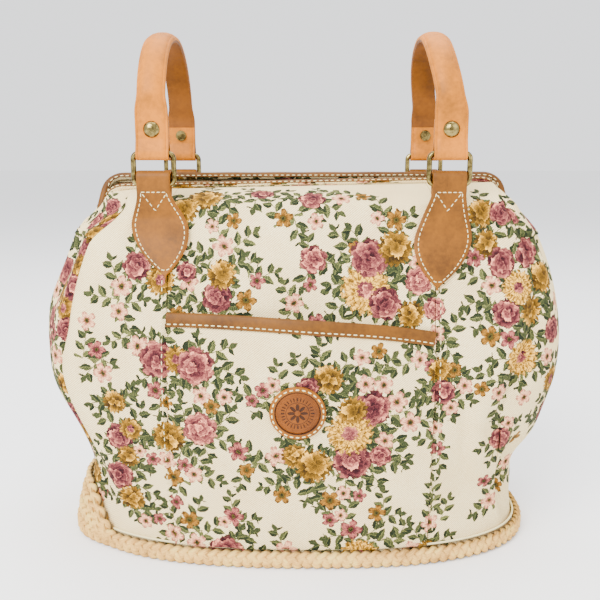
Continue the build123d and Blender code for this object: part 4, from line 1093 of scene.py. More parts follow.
for name, (xFrom, xTo, columns, sign, bow, seed) in faces.items():
    grid, uv = faceGrid(xFrom, xTo, columns, sign, bow, seed)
    grids[name] = grid
    made = clothSheet(name, grid, uv)
    printCloth(made, frontPrint if sign < 0 else backPrint)
    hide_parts(*stands[name])
    blendToBow(made, bow)
print("front and back cloth made")

# End cloths with tuck and gathers, and the corners beside the mouth.
ends = {
    "tuck": {-1: (13.0, 225.0, 60.0), 1: (19.0, 60.0, 40.0)},
    "reach": {-1: 0.17, 1: 0.12}, "gather": 4.5, "gatherStart": 165.0,
    "start": 40.0, "lap": 4.0,
    "bulges": {-1: ((-6.5, 102.0, 26.0), (6.0, 42.0, 18.0), (7.5, 190.0, 32.0)),
               1: ((10.0, 84.0, 26.0), (6.0, 44.0, 18.0))},
}


# Outline round one end at the heights z: tuck, gathers and valleys go inward, the bulges outward.
def endRows(side, z, share, out=0.0):
    a, b, n = halfWidth(z), halfDepth(z), squareness(z)
    yFront = -b * (1 - foldShare(side, z) ** n) ** (1 / n) + seamGap
    yRear = b * (1 - body["fold"] ** n) ** (1 / n) - seamGap
    y = yFront + (yRear - yFront) * share
    x = a * (1 - (np.abs(y) / b) ** n) ** (1 / n)
    slopeX, slopeY = (x / a) ** (n - 1) / a, np.sign(y) * (np.abs(y) / b) ** (n - 1) / b
    length = np.hypot(slopeX, slopeY)
    deep, middle, spread = ends["tuck"][side]
    tuck = deep * hump(z, middle, spread) * easeStep(z / ends["start"])
    tuck = tuck * ((share / ends["reach"][side]) * np.exp(1 - share / ends["reach"][side])) ** 2
    rise = easeStep((z - ends["gatherStart"]) / (body["gussetTop"] - ends["gatherStart"]))
    gather = ends["gather"] * rise * np.sin(np.pi * share) * np.cos(9.5 * np.pi * share + side)
    slow = 1.3 * np.sin(z / 33 + 2 * side) * np.sin(2.4 * np.pi * share + z / 60)
    slow = slow * np.sin(np.pi * share) * easeStep((z - 14) / 20)
    crease = 0.9 * np.sin(z / 8.5 + 3 * share) * hump(share, 0.0, 0.16) * hump(z, 90, 60) * (side > 0)
    crisp = easeStep((z - 95) / 50) if side > 0 else 1.0
    valley = unevenness["valley"] * (crisp * np.exp(-share / 0.03) + 0.35 * np.exp(-(1 - share) / 0.03))
    valley = valley * easeStep((z - 20) / 40)
    bulges = sum(amount * hump(z, middle, spread) for amount, middle, spread in ends["bulges"][side])
    inward = tuck + gather + slow + crease + valley - bulges * np.sin(np.pi * share) ** 0.6 - out
    return np.stack([side * (x - inward * slopeX / length), y - inward * slopeY / length, z + 0 * share], -1)


# Patch between four edges: the sum of both ruled blends less the corners' blend, bulged outward in its middle.
def edgePatch(low, high, first, last, bulge):
    s = np.linspace(0, 1, len(low))[None, :, None]
    t = np.linspace(0, 1, len(first))[:, None, None]
    ruled = (1 - t) * low[None] + t * high[None] + (1 - s) * first[:, None] + s * last[:, None]
    corners = (1 - t) * ((1 - s) * low[0] + s * low[-1]) + t * ((1 - s) * high[0] + s * high[-1])
    grid = ruled - corners
    grid[..., :2] *= 1 + bulge * np.sin(np.pi * s) * np.sin(np.pi * t)
    return grid


# Points of a line evened out to a given number.
def evenLine(points, count):
    length = runLength(points)
    at = np.linspace(0, length[-1], count)
    return pointsAt(at, length, points)


for side, word in ((-1, "left"), (1, "right")):
    z = np.linspace(body["clothFoot"], body["gussetTop"], 84)[:, None]
    share = np.linspace(0, 1, 64)[None, :]
    grid = endRows(side, z, share)
    arc = np.concatenate([np.zeros((84, 1)), np.cumsum(np.linalg.norm(np.diff(grid, axis=1), axis=-1), 1)], 1)
    foldAt = foldShare(side, z) * halfWidth(z)
    uv = np.stack([side * (foldAt + arc), np.broadcast_to(z, arc.shape)], -1)
    made = clothSheet(f"{word}EndCloth", grid, uv)
    lists = frontPrint if side > 0 else movedPrint(*frontPrint, -46, 8, False)
    lists = printRound(lists, movedPrint(*frontPrint, 360 * side, -12, False), side, 228 if side > 0 else 200)
    if side < 0:
        lists = (lists[0] + leftBand, lists[1], lists[2] + fannedSprigs(leftBand))
    printCloth(made, lists)
    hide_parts(f"{word}_gusset")
    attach(made, "bag")
    frontName = f"front{word.capitalize()}Cloth"
    for face, sign, bow, gridName in (("front", -1, front, frontName), ("rear", 1, rear, "backCloth")):
        panel = grids[gridName]
        column = panel[:, 0] if side < 0 else panel[:, -1]
        column = column[column[:, 2] >= body["gussetTop"] - ends["lap"] - 0.5]
        part = np.linspace(0, 0.5, 30) if sign < 0 else np.linspace(1, 0.5, 30)
        zLap = np.full(30, body["gussetTop"] - ends["lap"])
        low = endRows(side, zLap, part, out=0.7)
        corner = np.array(bow[word])
        hinge = np.array([side * bow["armX"], 0, bows["hinge"]])
        topX = column[-1]
        line = np.array([
            topX, corner + (hinge - corner) * 0.12 + [0, sign * 2.0, 0],
            hinge + (corner - hinge) * 0.25 + [side * 2.4, sign * 1.5, 0], hinge + [side * 3.2, sign * 0.35, -3.0],
        ])
        high = evenLine(line, 30)
        first = evenLine(np.concatenate([[low[0]], column[1:-1], [topX]]), 26)
        middle = (low[-1] + high[-1]) / 2 + np.array([side * 2.0, 0, 2.0])
        last = evenLine(np.array([low[-1], middle, high[-1]]), 26)
        last[:, 1] = low[-1, 1] + sign * 0.35
        patch = edgePatch(low, high, first, last, 0.008)
        arcU = np.concatenate([np.zeros((26, 1)), np.cumsum(np.linalg.norm(np.diff(patch, axis=1), axis=-1), 1)], 1)
        arcV = np.concatenate([np.zeros((1, 30)), np.cumsum(np.linalg.norm(np.diff(patch, axis=0), axis=-1), 0)], 0)
        ripple = np.sin(np.linspace(0, 1, 30)[None] * 22 + np.linspace(0, 1, 26)[:, None] * 5)
        fold = 0.5 * (ripple * np.sin(np.linspace(0, np.pi, 26))[:, None])
        patch[..., 0] += side * fold
        uv = np.stack([side * (154 + arcU), 249 + arcV], -1)
        if sign > 0:
            uv[..., 0] = side * (254 - arcU)
        made = clothSheet(f"{face}{word.capitalize()}CornerCloth", patch, uv)
        printCloth(made, lists)
        if sign < 0:
            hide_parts(f"{word}_mouth_corner")
        blendToBow(made, bow)
print("end cloths made")

# Lining: a plain inner bag, and a printed facing inside each mouth cloth.
lining = {"gap": 3.0, "endGap": 14.5, "thick": 0.8, "floor": 5.6, "square": 2.5, "facingFrom": 78}


# Closed cup: rings of a rounded outline, the floor's from its middle outward, then up the wall.
def cupRows(inset):
    foot = lining["floor"] + inset
    z = np.concatenate([np.full(8, foot), np.linspace(foot, body["gussetTop"], 50)[1:]])
    scale = np.concatenate([np.linspace(0.06, 1, 8), np.ones(49)])
    angle = np.arange(120) / 120 * 2 * np.pi
    c, s = np.cos(angle), np.sin(angle)
    a = (halfWidth(z) - body["cloth"] - lining["endGap"] - inset) * scale
    b = (halfDepth(z) - body["cloth"] - lining["gap"] - inset) * scale
    x = a[:, None] * np.sign(c) * np.abs(c) ** (2 / lining["square"])
    y = b[:, None] * np.sign(s) * np.abs(s) ** (2 / lining["square"])
    soft = 1 - 0.006 * (1 + np.sin(angle * 9 + z[:, None] / 19)) * easeStep((z[:, None] - 20) / 30)
    return np.stack([x * soft, y * soft, np.broadcast_to(z[:, None], x.shape)], -1)


outer, inner = cupRows(0.0), cupRows(lining["thick"])
rows, cols = outer.shape[:2]
points = np.concatenate([outer.reshape(-1, 3), inner.reshape(-1, 3)])
count = rows * cols
quads = gridQuads(rows, cols, 0, True)
ring = np.arange(cols) + (rows - 1) * cols
faces = quads.tolist() + gridQuads(rows, cols, count, True)[:, ::-1].tolist()
faces += np.stack([ring, np.roll(ring, -1), np.roll(ring, -1) + count, ring + count], -1).tolist()
faces += [list(range(cols))[::-1], [count + k for k in range(cols)]]
mesh = smoothMesh("liningBag", points, faces)
mesh.set_sharp_from_angle(angle=math.radians(50))
liningBag = placeMesh("liningBag", mesh)
mesh.materials.append(liningWeave)
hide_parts("lining")
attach(liningBag, "bag")
for name, sign, bow in (("frontMouthLining", -1, front), ("rearMouthLining", 1, rear)):
    panels = ("frontLeftCloth", "frontCentreCloth", "frontRightCloth") if sign < 0 else ("backCloth",)
    grid = np.concatenate([grids[panel] for panel in panels], 1)[lining["facingFrom"]:]
    keep = np.concatenate([[True], np.linalg.norm(np.diff(grid[0], axis=0), axis=1) > 1.0])
    grid = grid[:, keep]
    inset = np.linspace(4.0, 2.0, len(grid))[:, None, None]
    facing = grid - outwardNormals(grid) * inset
    down = np.cumsum(np.linalg.norm(np.diff(facing, axis=0, prepend=facing[:1]), axis=-1), 0)
    made = clothSheet(name, facing, np.stack([facing[..., 0], 225 + down], -1), 0.7)
    printCloth(made, frontPrint if sign > 0 else backPrint)
    blendToBow(made, bow)
print("lining made")

# Front pocket: cloth, leather binding, stitches.
pocket = {
    "foot": 14.0, "bulge": 9.0, "bulgeStart": 60.0, "sideGap": 2.0, "footGap": 0.4, "middle": 193.5,
    "edge": ((-102, 196.0), (-49, 195.5), (0, 193.5), (55, 189.0), (102, 182.0)), "cloth": 1.6, "binding": 9.0,
}


# Gap between pocket and panel: eased up from the foot, widest at the middle of the mouth.
def pocketGap(x, z):
    rise = easeStep((z - pocket["bulgeStart"]) / (pocket["middle"] - pocket["bulgeStart"]))
    across = np.cos(np.pi * x / (2 * body["seam"])) ** 2
    return pocket["footGap"] + (pocket["sideGap"] - pocket["footGap"] + pocket["bulge"] * across) * rise


# Height of the pocket's wavy edge: a curve through its five places.
def pocketEdge(x):
    places = np.array(pocket["edge"], float)
    fine = np.polyfit(places[:, 0], places[:, 1], 4)
    return np.polyval(fine, x)


# Outer surface of the pocket: panel, gap and cloth, with slow waves that only swell outward.
def pocketDepth(x, z):
    wave = 0.9 * (1 + np.sin(x / 24 + 0.6) * np.sin(z / 29 + 0.4)) + 0.35 * np.sin(x / 11 - z / 17)
    sides = easeStep((body["seam"] - np.abs(x)) / 22)
    feet = easeStep((z - pocket["foot"]) / 26) * easeStep((212 - z) / 30)
    drag = 0.5 * np.sin(x / 7 + z / 26) * hump(z, 30, 26) * sides
    return faceDepth(x, z) + pocketGap(x, z) + pocket["cloth"] + (wave * feet + drag) * sides


xs = np.linspace(-body["seam"] + 0.45, body["seam"] - 0.45, 78)[None, :]
up = np.linspace(0, 1, 72)[:, None]
zs = pocket["foot"] + (pocketEdge(xs) - 0.6 - pocket["foot"]) * up
xs = np.broadcast_to(xs, zs.shape)
grid = np.stack([xs, -pocketDepth(xs, zs), zs], -1)
made = clothSheet("pocketCloth", grid, np.stack([xs, zs], -1), 1.1)
printCloth(made, frontPrint)
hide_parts("front_pocket")
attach(made, "bag")

xs = np.linspace(-body["seam"] + 0.5, body["seam"] - 0.5, 130)
edgeZ = pocketEdge(xs)
path = np.stack([xs, -pocketDepth(xs, edgeZ) + 0.8, edgeZ], -1)
tangent = tangentsOf(path)
low = np.stack([xs, -pocketDepth(xs, edgeZ - 9) + 0.8, edgeZ - 9], -1)
upward = path - low
upward -= np.sum(upward * tangent, 1, keepdims=True) * tangent
upward /= np.linalg.norm(upward, axis=1, keepdims=True)
outward = np.cross(tangent, upward)
outward *= np.sign(-outward[:, 1:2])
binding = pocket["binding"]
channel = np.array([
    (2.1, -binding), (2.35, -binding + 0.4), (2.35, -4), (2.25, -0.6), (1.7, 0.9), (0.7, 1.6), (-0.7, 1.6), (-1.7, 0.9),
    (-2.2, -0.6),
    (-2.2, -binding + 0.4), (-1.95, -binding), (-1.2, -binding), (-0.95, -binding + 0.4), (-0.95, -0.3), (0.95, -0.3),
    (0.95, -binding + 0.4), (1.15, -binding),
])
made = sweepMesh("pocketLeather", path, outward, upward, channel)
made.data.materials.append(trimLeather)
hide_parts("pocket_binding")
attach(made, "bag")
stitchPath = path + outward * 2.4 - upward * 6.9
sewRow("pocketStitches", stitchPath, outward, 4.6, 3.4, 0.42)
print("pocket made")

# Round patch: a stitched rim round a recessed disc with a stamped rosette.
patch = {
    "x": -2.0, "z": 127.0, "thick": 2.2, "recess": 0.8, "petals": 8, "ticks": 28, "seat": 0.6,
}
slope = math.atan2(float(pocketDepth(patch["x"], 142.0) - pocketDepth(patch["x"], 112.0)), 30.0)
origin = np.array([patch["x"], -float(pocketDepth(patch["x"], patch["z"])) - patch["seat"], patch["z"]])
outDir = np.array([0, -math.cos(slope), -math.sin(slope)])
upDir = np.array([0, -math.sin(slope), math.cos(slope)])
radii = np.concatenate([np.linspace(0.15, 15.6, 64),
    [15.8, 16.0, 16.2, 16.3, 16.5, 16.9, 17.6, 18.7, 19.6, 20.1, 20.4, 20.5, 20.5, 20.4, 12, 0.15]])
turns = np.arange(180) / 180 * 2 * np.pi
r, turn = np.broadcast_arrays(radii[:, None], turns[None, :])
high = np.where(r < 16.25, patch["thick"] - patch["recess"], patch["thick"])
high = high - 0.35 * hump(r, 16.25, 0.5) + 0.28 * (hump(r, 14.6, 0.35) + hump(r, 13.3, 0.35))
petal = np.abs(np.cos(turn * patch["petals"] / 2)) ** 0.7
petals = easeStep((petal * 7.6 - r) / 0.7) * easeStep((r - 1.8) / 0.6)
ticks = easeStep((np.cos(turn * patch["ticks"]) - 0.2) / 0.5) * easeStep((r - 9.2) / 0.4) * easeStep((12.2 - r) / 0.4)
high = high - 0.45 * petals + 0.25 * hump(r, 0, 1.3) - 0.4 * ticks
high = high + 0.15 * np.cos((r - 18.7) / 2.0 * np.pi) * (r > 16.6)
high[74:80] = np.array([patch["thick"] - 0.45, patch["thick"] - 0.8, 0.35, 0, 0, 0])[:, None]  # edge and back
spoke = np.cos(turn)[..., None] * np.array([1.0, 0, 0]) + np.sin(turn)[..., None] * upDir
points = origin + r[..., None] * spoke + high[..., None] * outDir
cols = len(turns)
quads = gridQuads(len(radii), cols, 0, True)
flat = points.reshape(-1, 3)
normal = np.cross(flat[quads[:, 1]] - flat[quads[:, 0]], flat[quads[:, 2]] - flat[quads[:, 1]])
if np.sum(normal[:1800] * outDir) < 0:
    quads = quads[:, ::-1]
    caps = [list(range(cols)), list(range(len(flat) - cols, len(flat)))[::-1]]
else:
    caps = [list(range(cols))[::-1], list(range(len(flat) - cols, len(flat)))]
mesh = smoothMesh("roundPatch", flat, quads.tolist() + caps)
pressed = np.maximum(np.maximum(petals, ticks), np.maximum(hump(r, 16.25, 0.35), hump(r, 8.4, 0.22))) > 0.5
index = np.ones(len(mesh.polygons), np.int32)
index[:len(quads)] = np.where(pressed[:-1].ravel(), 2, (np.arange(len(quads)) // cols) < 67)
index[-2:] = (1, 0)
mesh.polygons.foreach_set("material_index", index)
mesh.set_sharp_from_angle(angle=math.radians(60))
made = placeMesh("roundPatch", mesh)
mesh.materials.append(patchRim)
mesh.materials.append(stampedLeather)
mesh.materials.append(darkLeather)
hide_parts("round_patch")
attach(made, "bag")
angle = np.linspace(0, 2 * np.pi, 241)
spoke = np.cos(angle)[:, None] * np.array([1.0, 0, 0]) + np.sin(angle)[:, None] * upDir
ring = origin + 18.7 * spoke + (patch["thick"] + 0.12) * outDir
sewRow("patchStitches", ring, np.broadcast_to(outDir, ring.shape), 4.5, 3.3, 0.5)
print("patch made")

# Mouth edge: a printed sleeve round each bow, and a crescent of leather over one side of it.
mouth = {
    "radius": 2.55, "strip": 3.4, "from": 22.0, "to": 186.0, "stitch": 4.6, "stitchAt": {-1: 38.0, 1: 166.0},
    "printAt": (-0.165, 0.262),  # where the sleeve lies on the print, in metres
}
for face, bow, sign, bodyName in (("front", front, -1, "mouth_front"), ("rear", rear, 1, "mouth_rear")):
    hingeLeft, hingeRight = np.array([-bow["armX"], 0, bows["hinge"]]), np.array([bow["armX"], 0, bows["hinge"]])
    left, right = np.array(bow["left"]), np.array(bow["right"])
    start = hingeLeft + (left - hingeLeft) * 8 / np.linalg.norm(left - hingeLeft)
    stop = hingeRight + (right - hingeRight) * 8 / np.linalg.norm(right - hingeRight)
    path = roundedPath([start, left, right, stop], (bows["corner"], bows["corner"]), 2.0)
    tangent = tangentsOf(path)
    side = np.cross(tangent, np.array([0, 0, 1.0]))
    side /= np.linalg.norm(side, axis=1, keepdims=True)
    side *= np.sign(sign * side[:, 1:2])
    over = np.cross(side, tangent)
    over *= np.sign(over[:, 2:3])
    sleeve = sweepMesh(f"{face}MouthSleeve", path, side, over, roundProfile(mouth["radius"], mouth["radius"], 16))
    mesh = sleeve.data
    flat = np.zeros(len(mesh.loops) * 2, np.float32)
    mesh.uv_layers["Cloth"].data.foreach_get("uv", flat)
    flat[0::2] += mouth["printAt"][0]
    flat[1::2] += mouth["printAt"][1]
    mesh.uv_layers["Cloth"].data.foreach_set("uv", flat)
    printCloth(sleeve, frontPrint)
    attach(sleeve, bodyName)
    turns = np.radians(np.linspace(mouth["from"], mouth["to"], 9))
    crescent = np.concatenate([
        mouth["strip"] * np.stack([np.cos(turns), np.sin(turns)], -1),
        (mouth["radius"] - 0.05) * np.stack([np.cos(turns[::-1]), np.sin(turns[::-1])], -1),
    ])
    uneven = 1 + 0.03 * np.sin(np.arange(len(path)) / 3.1)[:, None, None]
    made = sweepMesh(f"{face}MouthLeather", path, side, over, crescent[None] * uneven)
    made.data.materials.append(trimLeather)
    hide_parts(f"{face}_binding")
    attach(made, bodyName)
    stitchTurn = math.radians(mouth["stitchAt"][sign])
    outDirs = side * math.cos(stitchTurn) + over * math.sin(stitchTurn)
    stitchPath = path + outDirs * (mouth["strip"] + 0.1)
    sewRow(f"{face}MouthStitches", stitchPath, outDirs, mouth["stitch"], 3.0, 0.38, bodyName)
print("mouth leather made")

# Tabs: leather folded over a ring's lower bar, with a spade end that lies on the cloth.
tab = {
    "neck": 12.3, "wide": 21.2, "neckZ": 284.0, "widestZ": 257.0, "tipZ": 223.0, "shift": 9.0,
    "backZ": 264.0, "bar": 289.0,
    "slot": 5.0, "leather": 2.4, "gap": 0.5, "ringX": 108.0, "ringY": 60.0, "reach": 3.7, "rightDrop": 8.0,
    "inner": 77.8, "back": 86.8,
}


# Height on the left tab that matches a height on the right one, whose spade hangs lower.
def tabLevel(z, side):
    drop = tab["rightDrop"] if side > 0 else 0.0
    return z + drop * easeStep((tab["neckZ"] - z) / (tab["neckZ"] - tab["widestZ"] + drop))


# Half width of the spade: eased out from the neck, then a parabola to its pointed tip.
def tabHalf(z):
    above = tab["neck"] + (tab["wide"] - tab["neck"]) * easeStep((tab["neckZ"] - z) / (tab["neckZ"] - tab["widestZ"]))
    below = tab["wide"] * (1 - np.clip((tab["widestZ"] - z) / (tab["widestZ"] - tab["tipZ"]), 0, 1) ** 2)
    return np.where(z > tab["widestZ"], above, below)


# Middle of the spade, which drifts inward as it goes down.
def tabMiddle(z):
    return tab["ringX"] - tab["shift"] * np.clip((tab["neckZ"] - z) / (tab["neckZ"] - tab["tipZ"]), 0, 1)


# How far the cloth lies behind its own depth at the tab's inner edge, so that the spade bends with the cloth.
def tabFollow(x, z):
    away = faceDepth(np.abs(x), z) - faceDepth(tab["inner"] + 0 * z, z)
    return away * easeStep((tab["neckZ"] - 4 - z) / 18)


for side, word in ((-1, "left"), (1, "right")):
    for sign, face in ((-1, "front"), (1, "rear")):
        near, far = tab["ringY"] - tab["reach"], tab["ringY"] + tab["reach"]
        top = tab["bar"] + tab["slot"] + tab["reach"]
        seat = tab["leather"] / 2 + tab["gap"]
        backY = float(faceDepth(tab["back"], tab["backZ"])) + seat - 0.2
        join = backY + tab["leather"] + 0.2
        hang = tab["rightDrop"] if side > 0 else 0.0
        lower = [(float(faceDepth(tab["inner"], z)) + seat, z) for z in (252.0, 236.0 - hang / 2, 221.5 - hang)]
        corners = [(backY, tab["backZ"]), (near, 288.0), (near, top), (far, top), (far, 288.0), (join, 266.0), *lower]
        route = roundedPath(corners, (8, 3.6, 3.6, 8, 30, 60, 60), 1.0)
        length = len(route)
        leaf = np.arange(length) > int(np.argmax(route[:, 1] + route[:, 0] * 0.5))
        z = route[:, 1]
        level = tabLevel(z, side)
        half = np.maximum(np.where(leaf, tabHalf(level), tab["neck"]), 0.6)
        middle = np.where(leaf, tabMiddle(level), tab["ringX"])
        path = np.stack([side * middle, sign * route[:, 0], z], -1)
        straight = np.stack([0 * z, sign * route[:, 0], z], -1)
        tangent = tangentsOf(straight)
        across = np.broadcast_to(np.array([1.0, 0, 0]), path.shape)
        normal = np.cross(across, tangent)
        t = tab["leather"] / 2
        columns = np.array([-1, -0.97, -0.9, -0.7, -0.35, 0, 0.35, 0.7, 0.9, 0.97, 1])
        rounding = np.array([0.55, 0.85, 1, 1, 1, 1, 1, 1, 1, 0.85, 0.55])
        xRing = np.concatenate([columns, columns[::-1]])
        hRing = np.concatenate([rounding, -rounding[::-1]]) * t
        profile = np.stack([half[:, None] * xRing, np.broadcast_to(hRing, (length, 22))], -1)
        beyond = lambda p: sign * tabFollow(p[:, 0], p[:, 2]) * (np.abs(p[:, 1]) > near + 2)
        drop = lambda p: np.stack([p[:, 0], p[:, 1] + beyond(p), p[:, 2]], -1)
        made = sweepMesh(
            f"{face}{word.capitalize()}Tab", path, across, normal, profile, bend=drop, edgeColumns=(10, 21),
        )
        made.data.materials.append(leather)
        made.data.materials.append(rawLeather)
        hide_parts(f"{face}_{word}_tab")
        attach(made, "bag")
        outerZ, outerY = route[leaf][::-1, 1], route[leaf][::-1, 0]
        zLine = np.linspace(283, 227.5 - hang, 60)
        levels = tabLevel(zLine, side)
        rows = []
        for edge in (-1, 1):
            rows.append(np.stack([tabMiddle(levels) + edge * np.maximum(tabHalf(levels) - 3.0, 0.3), zLine], -1))
        outline = np.concatenate([rows[0], rows[1][::-1]])
        vee = np.array([(tab["ringX"] - 9.5, 282.0), (tab["ringX"] - 1.0, 270.0), (tab["ringX"] + 8.5, 282.5)])
        vee = np.stack([np.interp(np.linspace(0, 2, 30), [0, 1, 2], vee[:, k]) for k in (0, 1)], -1)
        bar = np.stack([np.linspace(tab["ringX"] - 9.5, tab["ringX"] + 9.5, 20), np.full(20, 283.2)], -1)
        for number, line in enumerate((outline, vee, bar)):
            depth = np.interp(line[:, 1], outerZ, outerY) + t + 0.1
            points = np.stack([side * line[:, 0], sign * (depth + tabFollow(line[:, 0], line[:, 1])), line[:, 1]], -1)
            normals = np.broadcast_to(np.array([0, sign * 1.0, 0.12]), points.shape)
            sewRow(f"{face}{word.capitalize()}TabStitches{number}", points, normals, 3.8, 2.9, 0.34)
print("tabs made")

# Handles: one strap from ring to ring, doubled at both ends and padded over the arch.
handle = {
    "strap": 12.0, "grip": 10.25, "leather": 2.4, "crown": 5.0, "liningSide": 2.5, "legY": 61.3,
    "archZ": 338.0,
    "lean": {-1: 0.0, 1: 7.0}, "rise": 14.0,
}
for side, word in ((-1, "left"), (1, "right")):
    legs = [(58.7, 335), (58.7, 321), (56.1, 312), (56.1, 307.3), (63.9, 307.3), (63.9, 312), (61.3, 321), (61.3, 338)]
    leg = roundedPath(legs, (6, 6, 3.6, 3.6, 6, 6), 1.0)
    arch = np.linspace(0, np.pi, 130)[1:-1]
    arc = np.stack([handle["legY"] * np.cos(arch), handle["archZ"] + handle["legY"] * np.sin(arch)], -1)
    route = np.concatenate([leg, arc, leg[::-1] * [-1, 1]])
    route[:, 0] *= -1
    z = route[:, 1]
    swell = easeStep((z - handle["archZ"] - 2) / handle["rise"])
    lean = -side * handle["lean"][side] * easeStep((z - 335) / 62)
    path = np.stack([side * tab["ringX"] + lean, route[:, 0], z], -1)
    tangent = tangentsOf(np.stack([0 * z, route[:, 0], z], -1))
    across = np.broadcast_to(np.array([1.0, 0, 0]), path.shape)
    normal = np.cross(tangent, across)
    middleRow = len(path) // 2
    normal *= np.sign(normal[middleRow, 2])
    half = handle["strap"] + (handle["grip"] - handle["strap"]) * swell
    t = handle["leather"] / 2
    c = np.array([-1, -0.975, -0.93, -0.88, -0.85, -0.82, -0.6, -0.3, 0, 0.3, 0.6, 0.82, 0.85, 0.88, 0.93, 0.975, 1])
    crown = t + (handle["crown"] - t) * (1 - np.abs(c) ** 2.6)
    flatTop = t * np.where(np.abs(c) > 0.98, 0.6, 1.0)
    crease = -0.32 * hump(np.abs(c), 0.85, 0.02)
    topSide = flatTop + (crown - flatTop) * swell[:, None] + crease
    lowSide = -(flatTop + (handle["liningSide"] - t) * (np.abs(c) < 0.96) * swell[:, None])
    profile = np.stack([
        half[:, None] * np.concatenate([c, c[::-1]]), np.concatenate([topSide, lowSide[:, ::-1]], 1),
    ], -1)
    made = sweepMesh(f"{word}HandleStrap", path, across, normal, profile, edgeColumns=(16, 33))
    made.data.materials.append(handleLeather)
    made.data.materials.append(rawLeather)
    made.data.materials.append(innerLeatherAndShade)
    # The strap's inner side takes the darker inner leather, partly painted shade.
    index = np.zeros(len(made.data.polygons), np.int32)
    made.data.polygons.foreach_get("material_index", index)
    column = np.arange(len(index) - 2) % 34
    index[:-2] = np.where((column > 16) & (column < 33), 2, index[:-2])
    made.data.polygons.foreach_set("material_index", index)
    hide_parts(f"{word}_handle_strap", f"{word}_handle_core", f"{word}_handle_lining")
    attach(made, f"handle_{word}")
print("handles made")


# Straw: three strands plaited round the rim, rows that rise at the left end, flat rounds under the base, piping.
plait = {
    "pitch": 23.0, "height": 7.3, "swing": 3.3, "over": 1.7, "strandWide": 3.6, "strandThick": 1.7, "rimOut": 5.2,
    "rounds": (9.5, 27.0, 44.5, 62.0, 79.0), "square": 2.5, "flare": 5.5, "wallFrom": 0.8, "wallEase": 0.17,
    "wall": ((12.0, 3.2), (23.5, 0.2), (34.0, -3.4)),  # rise and flare of each row at the left end
    "base": (4.6, 0.75, 4.4, 0.95), "baseHeight": 2.55,  # swing, over, half width and half thickness
}
piping = {"out": 1.2, "height": 14.1, "radius": 0.9, "steps": 700}


# Closed rounded outline, evened out along its length.
def ovalPath(a, b, count):
    angle = np.linspace(0, 2 * np.pi, 1441)
    c, s = np.cos(angle), np.sin(angle)
    x = a * np.sign(c) * np.abs(c) ** (2 / plait["square"])
    y = b * np.sign(s) * np.abs(s) ** (2 / plait["square"])
    length = np.concatenate([[0], np.cumsum(np.hypot(np.diff(x), np.diff(y)))])
    at = np.arange(count) / count * length[-1]
    return np.stack([np.interp(at, length, x), np.interp(at, length, y)], -1), length[-1]


# Strand of a plait: it swings across as the sine of its phase and goes over and under as the sine of twice that.
# At the left end it is raised by rise and pushed out by flare; a raised strand is kept there only.
def plaitStrand(name, a, b, z, number, upright, swing, over, wide, thick, seed, rise=0.0, flare=0.0):
    base, total = ovalPath(a, b, int(3.0 * (a + b)))
    leftEnd = easeStep((-base[:, 0] / a - plait["wallFrom"]) / plait["wallEase"])
    along = np.arange(len(base)) / len(base)
    turnsRound = max(round(total / plait["pitch"]), 3)
    phase = 2 * np.pi * (along * turnsRound + number / 3)
    tangent = tangentsOf(np.concatenate([base, np.zeros((len(base), 1))], 1), True)
    outward = np.cross(tangent, np.array([0, 0, 1.0]))
    sway = swing * np.sin(phase) * (1 + 0.05 * np.sin(along * 61 + seed))
    lift = over * np.sin(2 * phase + 0.4)
    centre = np.concatenate([base, (z + rise * leftEnd)[:, None]], 1) + outward * (flare * leftEnd)[:, None]
    up = np.broadcast_to(np.array([0, 0, 1.0]), centre.shape)
    if upright:
        path = centre + up * sway[:, None] + outward * lift[:, None]
        flat, thin = up, outward
    else:
        path = centre + outward * sway[:, None] + up * lift[:, None]
        flat, thin = outward, up
    direction = tangentsOf(path, True)
    if rise:
        keep = base[:, 0] < -plait["wallFrom"] * a
        path, direction, flat, phase, thin = path[keep], direction[keep], flat[keep], phase[keep], thin[keep]
    sideways = flat - np.sum(flat * direction, 1, keepdims=True) * direction
    sideways /= np.linalg.norm(sideways, axis=1, keepdims=True)
    upward = np.cross(direction, sideways)
    turns = np.arange(12) / 12 * 2 * np.pi
    ridged = 1 + 0.07 * np.cos(6 * turns)
    wideRing = wide * ridged * np.sign(np.cos(turns)) * np.abs(np.cos(turns)) ** 0.8
    profile = np.stack([wideRing, thick * ridged * np.sin(turns)], -1)
    rest = lambda p: np.stack([p[:, 0], p[:, 1], np.maximum(p[:, 2], 0.15)], -1)
    made = sweepMesh(name, path, sideways, upward, profile, closed=not rise, angle=80, bend=rest)
    # Painted shade: each point's shade value darkens the strand where it passes under the others and along its edges,
    # where the strands meet.
    shadeUnder = easeStep((0.1 - np.sin(2 * phase + 0.4)) / 1.1)
    shadeAtEdge = np.abs(np.cos(turns)) ** 3
    shade = np.clip(0.85 * shadeUnder[:, None] * shadeAtEdge + 0.5 * shadeAtEdge**3 + 0.25 * shadeUnder[:, None], 0, 1)
    layer = made.data.attributes.new("shade", "FLOAT", "POINT")
    layer.data.foreach_set("value", shade.astype(np.float32).ravel())
    made.data.materials.append(straw)
    return made


rimSize = (body["footWidth"] + plait["rimOut"], body["footDepth"] + plait["rimOut"], plait["height"])
rimShape = (plait["swing"], plait["over"], plait["strandWide"], plait["strandThick"])
for number in range(3):
    made = plaitStrand(f"rimStrand{number}", *rimSize, number, True, *rimShape, number, 0.0, plait["flare"])
    for row, (rise, flare) in enumerate(plait["wall"]):
        name = f"leftWallStrand{row}{number}"
        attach(plaitStrand(name, *rimSize, number, True, *rimShape, row + number, rise, flare), "bag")
    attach(made, "bag")
    if number == 0:
        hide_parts("plaited_rim")
for turnNumber, inset in enumerate(plait["rounds"]):
    for number in range(3):
        made = plaitStrand(f"baseStrand{turnNumber}{number}", body["footWidth"] - inset, body["footDepth"] - inset,
                           plait["baseHeight"], number, False, *plait["base"], turnNumber + number)
        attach(made, "bag")
        if turnNumber == 0 and number == 0:
            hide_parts("straw_base")
base = ovalPath(body["footWidth"] + piping["out"], body["footDepth"] + piping["out"], piping["steps"])[0]
